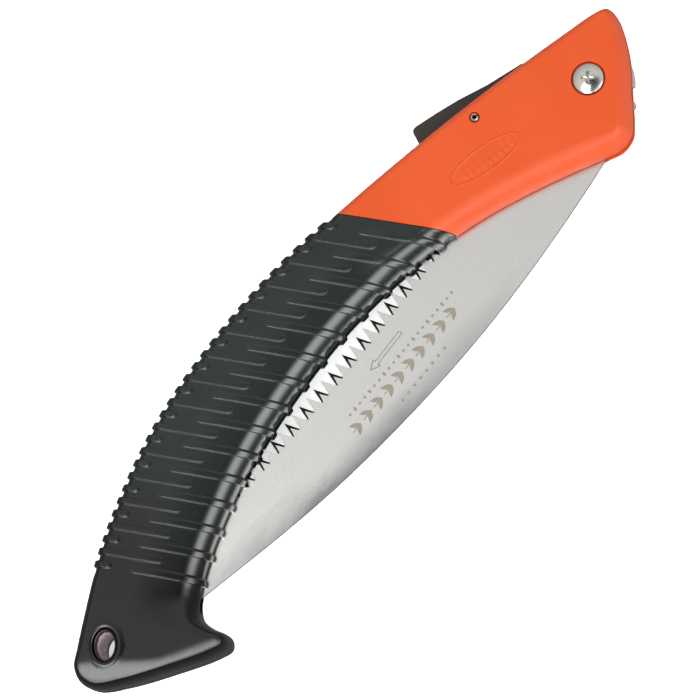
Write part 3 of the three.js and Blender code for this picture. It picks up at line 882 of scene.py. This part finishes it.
def blade_shape():
    """The blade with its ground teeth, its bore and the marks on its near face."""
    shape = Mesh()
    edge = blade_edge()
    xy = edge[:, :2]
    near_z, far_z, chamfer, fall = edge[:, 2:].T
    inset = xy - to_the_right(ways_along(xy)) * chamfer[:, None]
    near, far = at_height(inset, near_z), at_height(inset, far_z)
    rims = [far, at_height(xy, far_z + fall), at_height(xy, near_z - fall), near]
    shape.grid(rims, closed=True, slot=SHEARED)
    bore = circle(0, 0, BUSH_RADIUS + GAP, 48)
    for side, rim in ((1, near), (-1, far)):
        level = side * BLADE_Z
        edges, areas = [], []
        for *on_rim, end, inner, crotch in facet_outlines(side):
            tip, gullet = (rim[np.linalg.norm(xy - point, axis=1).argmin()] for point in on_rim)
            edges.append([gullet, (*end, level), (*inner, level), (*crotch, level)])
            edges.append([tip, (*crotch, level)])
            areas.append((np.array([tip[:2], gullet[:2], end, inner, crotch]), GROUND))
        marks = etched_marks() if side > 0 else []
        loops = [rim] + [at_height(mark, level) for mark, _ in marks]
        hole = at_height(bore, level)
        shape.fill(loops, holes=[hole], edges=edges, up=side > 0, level=level, areas=areas + marks)
    shape.grid([at_height(bore, BLADE_Z), at_height(bore, -BLADE_Z)], closed=True)
    return shape


# ---------------------------------------------------------------- metal pieces
HEAD_BOTTOM = 10.2
BUSH_HALF = 1.5
WASHER_RADIUS = 8
WASHER_THICKNESS = 0.575
STOP_PIN_SIZE = (1.5, -6, 6)  # radius, bottom and top
# Cross recesses: half the reach of an arm, its width, bottom and top.
BOLT_CROSS = (3.2, 1.35, 11.0, 14)
SCREW_CROSS = (1.7, 0.7, -12, -8.6)
CROSS_TURNS = (math.radians(38), math.radians(128))
SPRING_WIRE = 0.42
SPRING_RADIUS = 2.55
SPRING_TURNS = 5.5
SPRING_STEPS = 190
SPRING_LENGTH = 6.6
SPRING_CLOSING = 0.35  # how much its end turns close up

# Profiles of radius and height, with the outer side upwards.
BOLT_SHANK = [(0.0, -11.3), (BOLT_RADIUS - 0.5, -11.3), (BOLT_RADIUS, -10.8), (BOLT_RADIUS, HEAD_BOTTOM)]
NUT_CORNER = NUT_ACROSS_FLATS / math.sqrt(3)
NUT_BORE = BOLT_RADIUS + 0.05
NUT_PROFILE = [
    (NUT_BORE, -6.7), (NUT_BORE, -11.2), (BOLT_RADIUS + 0.5, -11.6), (NUT_CORNER - 0.75, -11.55),
    (NUT_CORNER, -11.0), (NUT_CORNER, -6.7), (NUT_BORE, -6.7),
]
SCREW_PROFILE = [
    (0.0, -9.6), (1.6, -9.45), (2.5, -9.05), (3.0, -8.5), (3.1, -8.2), (3.1, -7.3), (3.0, -7.2), (1.5, -7.2),
    (1.5, 5.6), (0.0, 7.2),
]
PIN_BORE = 0.8
PIN_SLIT = math.radians(14)  # half the slit's width
PIN_TURN = math.radians(-20)
ROLL_PIN_PROFILE = [
    (PIN_BORE, -11.9), (ROLL_PIN_RADIUS - 0.25, -12.05), (ROLL_PIN_RADIUS, -11.8),
    (ROLL_PIN_RADIUS, 11.95), (ROLL_PIN_RADIUS - 0.25, 12.2), (PIN_BORE + 0.05, 12.2), (PIN_BORE, 12.05),
]
EYELET_END = FACE_Z - 0.9
# The eyelet's rolled end: growth from the outside of its wall, and how far short of the end.
EYELET_LIP = [(0.0, 0.45), (-0.12, 0.15), (-0.38, 0.0), (-0.62, 0.15), (-0.75, 0.5)]


def cross_cutter(x, y, reach, width, bottom, top):
    """A cross recess whose arms narrow towards the bottom."""
    low = rectangle(-0.55, 0.55, 1.4) * (reach, width / 2)
    high = rectangle(-1, 1, 2) * (reach, width / 2) * 1.08
    arms = []
    for turn in CROSS_TURNS:
        low_arm, high_arm = turned(low, turn) + (x, y), turned(high, turn) + (x, y)
        arms.append(stacked([at_height(low_arm, bottom), at_height(high_arm, top)]))
    return arms


def dome(radius, bottom, side, rise, steps=12):
    """Profile of a domed head: a short upright side, a soft shoulder and a crowned top."""
    crown = (radius ** 2 + rise ** 2) / (2 * rise)
    profile = [(radius - 0.25, bottom), (radius, bottom + 0.25), (radius, bottom + side)]
    for i in range(1, steps + 1):
        r = radius * (1 - i / steps)
        profile.append((r, bottom + side + math.sqrt(crown ** 2 - r ** 2) - (crown - rise)))
    return profile


def bolt_shape():
    return turned_body(0, 0, BOLT_SHANK + dome(BOLT_HEAD_RADIUS, HEAD_BOTTOM, 1.2, 1.4), 96)


def nut_shape():
    """A nut whose round chamfers are cut off at its six flats."""
    shape = Mesh()
    around = circle(0, 0, 1, 72)
    angles = 2 * np.pi * np.arange(len(around)) / len(around)
    hexagon = NUT_ACROSS_FLATS / 2 / np.cos((angles + np.pi / 6) % (np.pi / 3) - np.pi / 6)
    rows = [at_height(around * np.minimum(hexagon, radius)[:, None], z) for radius, z in NUT_PROFILE]
    shape.grid(rows, closed=True)
    return shape


def roll_pin_shape():
    """A rolled sheet: an open tube with a slit and rounded ends, its bore in a slot of its own that takes
    painted shade.
    """
    shape = Mesh()
    angles = np.linspace(PIN_SLIT, 2 * math.pi - PIN_SLIT, 44) + PIN_TURN
    around = np.stack([np.cos(angles), np.sin(angles)], 1)
    rows = np.array([at_height(LEVER_PIVOT + radius * around, z) for radius, z in ROLL_PIN_PROFILE])
    shape.grid(rows)
    # The bore's slot takes steel painted dark as its shade.
    shape.grid([rows[-1], rows[0]], slot=1)
    shape.cap(rows[:, 0])
    shape.cap(rows[::-1, -1])
    return shape


def eyelet_shape():
    """The oval liner of the lanyard hole with a soft rolled edge at each end."""
    shape = Mesh()
    top = [(grow, EYELET_END - short) for grow, short in EYELET_LIP]
    profile = top + [(grow, -z) for grow, z in top[::-1]] + top[:1]
    rows = [at_height(lanyard_oval(grow), z) for grow, z in profile]
    shape.grid(rows, closed=True)
    return shape


def spring_shape():
    """The coil under the lever's pad, standing along Y, with its end turns closed up."""
    shape = Mesh()
    share = np.linspace(0, 1, SPRING_STEPS + 1)
    angle = 2 * np.pi * SPRING_TURNS * share
    outward = np.stack([np.cos(angle), np.zeros_like(angle), np.sin(angle)], 1)
    middle = SPRING_RADIUS * outward + (SPRING_SEAT[0], SPRING_SEAT[1] + 0.6, 0)
    middle[:, 1] += SPRING_LENGTH * (share + SPRING_CLOSING * (smoothstep(share) - share))
    third = np.cross(units(np.gradient(middle, axis=0)), outward)
    rows = [middle + SPRING_WIRE * (outward * c + third * s) for c, s in circle(0, 0, 1, 10)]
    rows = np.array(rows).transpose(1, 0, 2)[:, ::-1]
    shape.grid(rows, closed=True)
    shape.cap(rows[0, ::-1])
    shape.cap(rows[-1])
    return shape


# ---------------------------------------------------------------- lock lever
PAD_HALF = 4.5
ARM_HALF = 1.5
LEVER_PAD = [
    (-10, 22.6), (-9.2, 25.4), (-23.8, 31), (-34.7, 36.2), (-44, 39.9), (-53, 43.1), (-54.6, 42.5),
    (-57.2, 36.6), (-57.2, 33.4), (-55, 31), (-46, 29.4), (-42.8, 27), (-41.6, 22.6), (-38.6, 20.3),
    (-36, 20), (-26, 22.4),
]
LEVER_ARM = [
    (-5.3, 15.9), (-4.9, 18.6), (-2.8, 21.2), (-4, 23.4), (-9.2, 25.4), (-34, 34), (-34, 21),
    (-24, 19.9), (-12, 17.2), (-9.5, 14.7),
]


def rounded_corners(points, radius, steps=5):
    """An outline again with its corners rounded off."""
    points = np.asarray(points, float)
    rounded = []
    for i, corner in enumerate(points):
        before, after = points[i - 1] - corner, points[(i + 1) % len(points)] - corner
        lengths = np.linalg.norm([before, after], axis=1)
        reach = min(radius, *(0.42 * lengths))
        start, stop = corner + before / lengths[0] * reach, corner + after / lengths[1] * reach
        for share in np.linspace(0, 1, steps):
            rounded.append((1 - share) ** 2 * start + 2 * share * (1 - share) * corner + share ** 2 * stop)
    return np.array(rounded)


def rounded_block(points, half, edge, steps=4):
    """An upright block centred on the mid-plane whose rims are rounded off."""
    out = to_the_right(ways_along(points))
    turns = [i / steps * math.pi / 2 for i in range(steps + 1)]
    rims = [(edge * (1 - math.cos(turn)), half - edge + edge * math.sin(turn)) for turn in turns]
    rims = [(inset, -z) for inset, z in rims[::-1]] + rims
    return stacked([at_height(points - out * inset, z) for inset, z in rims])


# ---------------------------------------------------------------- materials
class Nodes:
    """A node tree with a short way to add each kind of node that the looks need."""

    def __init__(self, tree):
        self.tree = tree

    def connect(self, item, inputs):
        """Sets a node's inputs, each to a constant or to another node's output."""
        for name, value in inputs.items():
            if isinstance(value, bpy.types.NodeSocket):
                self.tree.links.new(value, item.inputs[name])
            else:
                item.inputs[name].default_value = value

    def add(self, kind, inputs, **settings):
        item = self.tree.nodes.new("ShaderNode" + kind)
        for name, value in settings.items():
            setattr(item, name, value)
        self.connect(item, inputs)
        return item

    def axis(self, name):
        """One of the object coordinates, in metres."""
        place = self.add("TexCoord", {}).outputs["Object"]
        return self.add("SeparateXYZ", {"Vector": place}).outputs[name]

    def noise(self, scale, detail=4.0, rough=0.55, stretch=(1, 1, 1)):
        """Noise over the object coordinates in millimetres, stretched."""
        place = self.add("TexCoord", {}).outputs["Object"]
        millimetres = tuple(s / MM for s in stretch)
        place = self.add("Mapping", {"Vector": place, "Scale": millimetres}).outputs["Vector"]
        inputs = {"Vector": place, "Scale": scale, "Detail": detail, "Roughness": rough}
        return self.add("TexNoise", inputs).outputs["Fac"]

    def spread(self, value, low, high, to_low=0.0, to_high=1.0, **settings):
        inputs = {"Value": value, "From Min": low, "From Max": high, "To Min": to_low, "To Max": to_high}
        return self.add("MapRange", inputs, **settings).outputs["Result"]

    def mixed(self, factor, first, second):
        colours = [(*colour, 1) if isinstance(colour, tuple) else colour for colour in (first, second)]
        inputs = {0: factor, 6: colours[0], 7: colours[1]}
        return self.add("Mix", inputs, data_type="RGBA").outputs[2]

    def math(self, operation, first, second=0.0):
        return self.add("Math", {0: first, 1: second}, operation=operation).outputs[0]


class Material(Nodes):
    """A Principled material, shaded by constants or nodes named after the shader's inputs."""

    def __init__(self, name, shading):
        self.item = bpy.data.materials.new(name)
        self.item.use_nodes = True
        super().__init__(self.item.node_tree)
        self.shade(shading)

    def shade(self, shading):
        self.connect(self.tree.nodes["Principled BSDF"], shading)

    def bump(self, height, strength, distance):
        inputs = {"Height": height, "Strength": strength, "Distance": distance}
        self.shade({"Normal": self.add("Bump", inputs).outputs["Normal"]})


def grained(name, colours, roughness, metallic, grain, bump=0.2, depth=0.00003):
    """A material that one noise varies, between two colours and two roughnesses."""
    look = Material(name, {"Metallic": metallic})
    height = look.noise(**grain)
    look.shade({
        "Base Color": look.mixed(look.spread(height, 0.3, 0.7), *colours),
        "Roughness": look.spread(height, 0.25, 0.75, *roughness),
    })
    look.bump(height, bump, depth)
    return look.item


def orange_plastic():
    look = Material("orange_plastic", {"Specular IOR Level": 0.26})
    broad = look.spread(look.noise(0.03, 3), 0.3, 0.7)
    grain = look.noise(3.2, 3)
    look.shade({
        "Base Color": look.mixed(broad, (0.405, 0.048, 0.0085), (0.43, 0.055, 0.0115)),
        "Roughness": look.spread(grain, 0.2, 0.8, 0.4, 0.5),
    })
    look.bump(grain, 0.1, 0.00001)
    return look.item


def black_rubber():
    """Smooth black rubber, coloured a little lighter over the ribbed stretch."""
    look = Material("black_rubber", {"Specular IOR Level": 0.6})
    broad = look.spread(look.noise(0.06, 4), 0.3, 0.7)
    plain = look.mixed(broad, (0.0003, 0.0004, 0.0005), (0.0006, 0.0008, 0.0009))
    # The ribbed stretch is coloured a little lighter than the plain tail.
    ribbed_tone = look.mixed(broad, (0.0035, 0.0072, 0.0058), (0.0055, 0.0098, 0.0082))
    tail_end = PIVOT.x + (TAIL_EDGE - 4) * MM
    ribbed = look.spread(look.axis("X"), tail_end - 0.03, tail_end + 0.02)
    grain = look.noise(2.5, 2)
    look.shade({
        "Base Color": look.mixed(ribbed, plain, ribbed_tone),
        "Roughness": look.spread(grain, 0.25, 0.75, 0.21, 0.27),
    })
    look.bump(grain, 0.1, 0.00001)
    return look.item


# The painted dark reflection along the blade's back, a darker band: the lowest point and the bend of the
# back, and the band's width.
BACK_LOW = (-83.0, -25.3)
BACK_BEND = 0.00092
DARK_REFLECTION_WIDTH = 11.0


def blade_steel():
    """Ground steel: fine strokes along the blade and a painted dark reflection, a darker band along its back.
    """
    look = Material("blade_steel", {"Metallic": 1.0})
    along = look.math("DIVIDE", look.math("SUBTRACT", look.axis("X"), PIVOT.x), MM)
    across = look.math("DIVIDE", look.math("SUBTRACT", look.axis("Y"), PIVOT.y), MM)
    from_low = look.math("SUBTRACT", along, BACK_LOW[0])
    rise = look.math("MULTIPLY", look.math("MULTIPLY", from_low, from_low), BACK_BEND)
    from_back = look.math("SUBTRACT", across, look.math("ADD", rise, BACK_LOW[1]))
    cloud = look.noise(0.09, stretch=(0.5, 1, 1))
    wavy = look.math("ADD", from_back, look.spread(cloud, 0.3, 0.7, -2.0, 2.0))
    # Painted dark reflection: a band along the back, fading out towards the pivot and partly towards the tip.
    dark_reflection = look.math("POWER", look.spread(wavy, 0.0, DARK_REFLECTION_WIDTH, 1.0, 0.0), 1.5)
    dark_reflection = look.math("MULTIPLY", dark_reflection, look.spread(along, -70.0, -150.0))
    dark_reflection = look.math("MULTIPLY", dark_reflection, look.spread(along, -235.0, -190.0, 0.35, 1.0))
    strokes = look.noise(1.0, 5, 0.6, (0.06, 2.2, 1))
    fine = look.mixed(look.spread(strokes, 0.3, 0.7), (0.89, 0.885, 0.86), (0.92, 0.915, 0.89))
    look.shade({
        "Base Color": look.mixed(dark_reflection, fine, (0.37, 0.37, 0.365)),
        "Roughness": look.spread(strokes, 0.2, 0.8, 0.24, 0.28),
    })
    look.bump(strokes, 0.02, 0.00001)
    return look.item


def ground_facet():
    """Hard facets ground on the teeth, painted dark and brownish for the dark reflection they show."""
    # Painted dark reflection: the facets' dark colours.
    colours = ((0.035, 0.018, 0.014), (0.10, 0.062, 0.05))
    grain = {"scale": 3.0, "stretch": (1, 0.2, 1)}
    return grained("ground_facet", colours, (0.35, 0.35), 0.8, grain, bump=0.1)


def sheared_edge():
    """The blanked edge all round the blade, rougher and darker than its faces."""
    colours = ((0.15, 0.15, 0.15), (0.25, 0.25, 0.245))
    return grained("sheared_edge", colours, (0.5, 0.5), 1.0, {"scale": 2.0, "stretch": (2, 2, 0.4)})


def etched_steel():
    colours = ((0.145, 0.13, 0.1), (0.19, 0.172, 0.135))
    return grained("etched_steel", colours, (0.6, 0.6), 0.0, {"scale": 2.5})


def shadowed_steel():
    """Steel painted dark, a painted shade deep in a bore."""
    colours = ((0.02, 0.018, 0.016), (0.05, 0.045, 0.04))
    return grained("shadowed_steel", colours, (0.5, 0.5), 0.5, {"scale": 3.0})


def lever_plastic():
    colours = ((0.013, 0.009, 0.006), (0.021, 0.015, 0.011))
    grain = {"scale": 5.0, "rough": 0.65}
    return grained("lever_plastic", colours, (0.5, 0.62), 0.0, grain, 0.3, 0.00005)


def steel(name, colour, roughness, scale=2.0):
    """Plated or drawn steel with faint handling marks."""
    colours = (tuple(0.86 * c for c in colour), colour)
    grain = {"scale": scale, "detail": 5, "rough": 0.65, "stretch": (1, 0.35, 1)}
    return grained(name, colours, (0.8 * roughness, 1.25 * roughness), 1.0, grain, 0.05, 0.00002)


def eyelet_steel():
    """Faintly violet plating in the lanyard hole, with painted shade that darkens it towards both ends, where
    the hole's walls shadow it.
    """
    look = Material("eyelet_steel", {"Roughness": 0.35, "Metallic": 0.25})
    streaks = look.noise(1.1, stretch=(1, 1, 0.12))
    # Painted shade: towards both ends of the hole the plating is coloured dark, with a ragged edge.
    from_middle = look.math("ABSOLUTE", look.math("SUBTRACT", look.axis("Z"), PIVOT.z))
    ragged = look.math("ADD", from_middle, look.spread(streaks, 0.3, 0.7, -0.0012, 0.0012))
    end_shade = look.spread(ragged, 0.0062, 0.0085)
    bright = look.mixed(look.spread(streaks, 0.35, 0.65), (0.52, 0.38, 0.44), (0.82, 0.68, 0.77))
    look.shade({"Base Color": look.mixed(end_shade, bright, (0.02, 0.012, 0.013))})
    look.bump(streaks, 0.15, 0.00005)
    return look.item


def pale_floor():
    look = Material("pale_floor", {
        "Roughness": 0.9, "Specular IOR Level": 0.1, "Emission Color": (1, 1, 1, 1), "Emission Strength": 0.6,
    })
    cloud = look.spread(look.noise(0.004, 2), 0.3, 0.7)
    look.shade({"Base Color": look.mixed(cloud, (0.92, 0.92, 0.92), (0.94, 0.94, 0.94))})
    return look.item


# ---------------------------------------------------------------- assembly
def build_handle():
    """Both shells and both grips; the far ones are the near ones' mirror images, with screws."""
    orange, rubber = [orange_plastic()], [black_rubber()]
    slot = slot_cutter()
    hole = upright(lanyard_oval(GAP), -THROUGH_Z, THROUGH_Z)
    pin_hole = rod_shape(*LEVER_PIVOT, ROLL_PIN_RADIUS + PIN_HOLE_FIT, -THROUGH_Z, THROUGH_Z)
    openings = [slot, pocket_cutter(), hole, pin_hole]
    core = core_block(-CORE_INSET, PARTING_Z, CORE_TOP)
    sleeve = core_block(CORE_FIT - CORE_INSET, PARTING_Z - 1, CORE_TOP + CORE_FIT)
    shell, grip = shell_half(BOLT_RECESS), grip_half()
    make_piece("housing_near", "shell", shell, orange, [core], openings)
    make_piece("grip_near", "rubber", grip, rubber, cutters=[sleeve, slot], angle=50)

    shell, grip, core, sleeve = (half.mirrored() for half in (shell_half(NUT_RECESS), grip, core, sleeve))
    openings += [rod_shape(x, y, *SHELL_WELL) for x, y in SCREW_PLACES]
    make_piece("housing_far", "shell", shell, orange, [core], openings)
    openings = [sleeve, slot] + [rod_shape(x, y, *RUBBER_WELL) for x, y in SCREW_PLACES[1:]]
    make_piece("grip_far", "rubber", grip, rubber, cutters=openings, angle=50)


def build_pivot(bright, plain):
    """The blade's bolt and nut, with the bush and the washers between them."""
    cross = cross_cutter(0, 0, *BOLT_CROSS)
    make_piece("pivot_bolt", "domed", bolt_shape(), bright, cutters=cross)
    make_piece("pivot_nut", "hex", nut_shape(), bright)
    bush = ring_shape(0, 0, BOLT_RADIUS + GAP, BUSH_RADIUS, -BUSH_HALF, BUSH_HALF)
    make_piece("pivot_bush", "ring", bush, plain)
    for side, bottom in (("near", BUSH_HALF - WASHER_THICKNESS), ("far", -BUSH_HALF)):
        washer = ring_shape(0, 0, BUSH_RADIUS + GAP, WASHER_RADIUS, bottom, bottom + WASHER_THICKNESS)
        make_piece(f"pivot_washer_{side}", "ring", washer, plain)


def build_hardware():
    """Everything of metal but the blade."""
    bright = [steel("bright_steel", (0.72, 0.7, 0.64), 0.19, 1.2)]
    plain = [steel("plain_steel", (0.62, 0.61, 0.6), 0.28)]
    spring = [steel("spring_steel", (0.42, 0.42, 0.43), 0.3)]
    build_pivot(bright, plain)
    make_piece("lever_pin", "rolled", roll_pin_shape(), bright + [shadowed_steel()])
    make_piece("stop_pin", "rod", rod_shape(*STOP_PIN, *STOP_PIN_SIZE), plain)
    make_piece("lanyard_eyelet", "oval", eyelet_shape(), [eyelet_steel()])
    make_piece("lever_spring", "coil", spring_shape(), spring)
    for i, (x, y) in enumerate(SCREW_PLACES):
        screw = turned_body(x, y, SCREW_PROFILE, 48)
        cross = cross_cutter(x, y, *SCREW_CROSS)
        make_piece(f"housing_screw_{i + 1}", "head", screw, plain, cutters=cross)


def build_lever():
    plastic = [lever_plastic()]
    pad = rounded_block(rounded_corners(LEVER_PAD, 1.0), PAD_HALF, 0.5)
    arm = rounded_block(rounded_corners(LEVER_ARM, 0.6), ARM_HALF, 0.25)
    bore = rod_shape(*LEVER_PIVOT, ROLL_PIN_RADIUS + GAP, -THROUGH_Z, THROUGH_Z)
    make_piece("lock_lever", "body", pad, plastic, [arm], cutters=[bore], body="lever")


def build_blade():
    slots = [blade_steel(), ground_facet(), etched_steel(), sheared_edge()]
    make_piece("blade", "ground", blade_shape(), slots, body="blade", angle=20)


# ---------------------------------------------------------------- studio
TARGET = Vector((-133.0, 9.3, 6.0)) * MM + PIVOT
TILT = math.radians(15)  # the camera leans this far towards the belly
LEAN = math.radians(-1)  # and this far towards the pivot end
ROLL = math.radians(52)  # the saw points up and to the right by this much
DISTANCE = 2.2
VIEW_WIDTH = 0.259  # metres across the picture at the target
SENSOR = 36

# Soft boxes: name, direction from the saw, width, height, radiance and whether reflections show it.
LIGHT_DISTANCE = 1.8
SOFT_BOXES = [
    ("tail_softbox", (-0.40, -0.03, 0.92), 0.7, 0.7, 8.0, True),
    ("end_softbox", (-0.68, -0.33, 0.66), 0.8, 0.7, 6.0, True),
    ("spine_fill", (0.0, 0.85, 0.5), 1.6, 1.2, 3.4, False),
    ("belly_fill", (0.0, -0.64, 0.77), 1.6, 1.2, 2.2, False),
]
ROOM_LOW = 0.2
ROOM_HIGH = 0.8
WINDOW_WAY = (0, -0.81, 0.587)
WINDOW_SQUEEZE = (0.55, 1, 1)  # makes the window wide along X
WINDOW_RADIANCE = 6.5
DARK_OUTER = math.cos(math.radians(36))  # the room darkens this near the camera's direction
DARK_INNER = math.cos(math.radians(14))
DARK_SHARE = 0.03
FLOOR_HALF = 6.0
FLOOR_DROP = 0.0002


def add_camera():
    """Adds the camera and returns the direction from the saw to it."""
    towards = Vector((math.tan(LEAN), -math.tan(TILT), 1)).normalized()
    ahead = (Vector((1, 0, 0)) - towards * towards.x).normalized()
    aside = towards.cross(ahead)
    right = ahead * math.cos(ROLL) - aside * math.sin(ROLL)
    up = ahead * math.sin(ROLL) + aside * math.cos(ROLL)
    data = bpy.data.cameras.new("camera")
    data.sensor_width = SENSOR
    data.lens = SENSOR * DISTANCE / VIEW_WIDTH
    data.clip_start = 0.01
    data.clip_end = 20
    camera = new_object("camera", data)
    turn = Matrix((right, up, towards)).transposed().to_4x4()
    camera.matrix_world = Matrix.Translation(TARGET + towards * DISTANCE) @ turn
    bpy.context.scene.camera = camera
    return towards


def add_soft_box(name, direction, width, height, radiance, reflected):
    """A soft box in a direction from the saw, facing it, of a given brightness."""
    data = bpy.data.lights.new(name, "AREA")
    data.shape = "RECTANGLE"
    data.size = width
    data.size_y = height
    data.energy = radiance * math.pi * width * height
    light = new_object(name, data)
    towards = Vector(direction).normalized()
    turn = towards.to_track_quat("Z", "Y").to_matrix().to_4x4()
    light.matrix_world = Matrix.Translation(TARGET + towards * LIGHT_DISTANCE) @ turn
    light.visible_camera = False
    light.visible_glossy = reflected


def facing(look, direction, way, low, high, to_low, to_high):
    """How much a world direction faces a given way, spread between two values."""
    dot = look.add("VectorMath", {0: direction, 1: tuple(way)}, operation="DOT_PRODUCT").outputs["Value"]
    return look.spread(dot, low, high, to_low, to_high, interpolation_type="SMOOTHSTEP")


def studio_world(camera_direction):
    """An even white room with a window, dimmer towards the horizon and dark round the camera."""
    world = bpy.data.worlds.new("studio")
    world.use_nodes = True
    look = Nodes(world.node_tree)
    direction = look.add("TexCoord", {}).outputs["Generated"]
    room = facing(look, direction, (0, 0, 1), -0.05, 0.85, ROOM_LOW, ROOM_HIGH)
    dark = facing(look, direction, camera_direction, DARK_OUTER, DARK_INNER, 1, DARK_SHARE)
    squeezed = look.add("VectorMath", {0: direction, 1: WINDOW_SQUEEZE}, operation="MULTIPLY").outputs[0]
    squeezed = look.add("VectorMath", {0: squeezed}, operation="NORMALIZE").outputs[0]
    window = facing(look, squeezed, WINDOW_WAY, 0.915, 0.99, 0, WINDOW_RADIANCE)
    strength = look.math("MULTIPLY", look.math("ADD", room, window), dark)
    look.connect(look.tree.nodes["Background"], {"Color": (1, 1, 1, 1), "Strength": strength})
    return world


def add_floor():
    floor = bpy.data.meshes.new("floor")
    size, height = FLOOR_HALF, cad_box[0][2] - FLOOR_DROP
    corners = [(-size, -size, height), (size, -size, height), (size, size, height), (-size, size, height)]
    floor.from_pydata(corners, [], [(0, 1, 2, 3)])
    ground = new_object("floor", floor)
    ground.visible_glossy = False
    floor.materials.append(pale_floor())


def build_studio():
    scene = bpy.context.scene
    scene.view_settings.view_transform = "Standard"
    scene.world = studio_world(add_camera())
    for soft_box in SOFT_BOXES:
        add_soft_box(*soft_box)
    add_floor()


build_handle()
build_hardware()
build_lever()
build_blade()
build_studio()
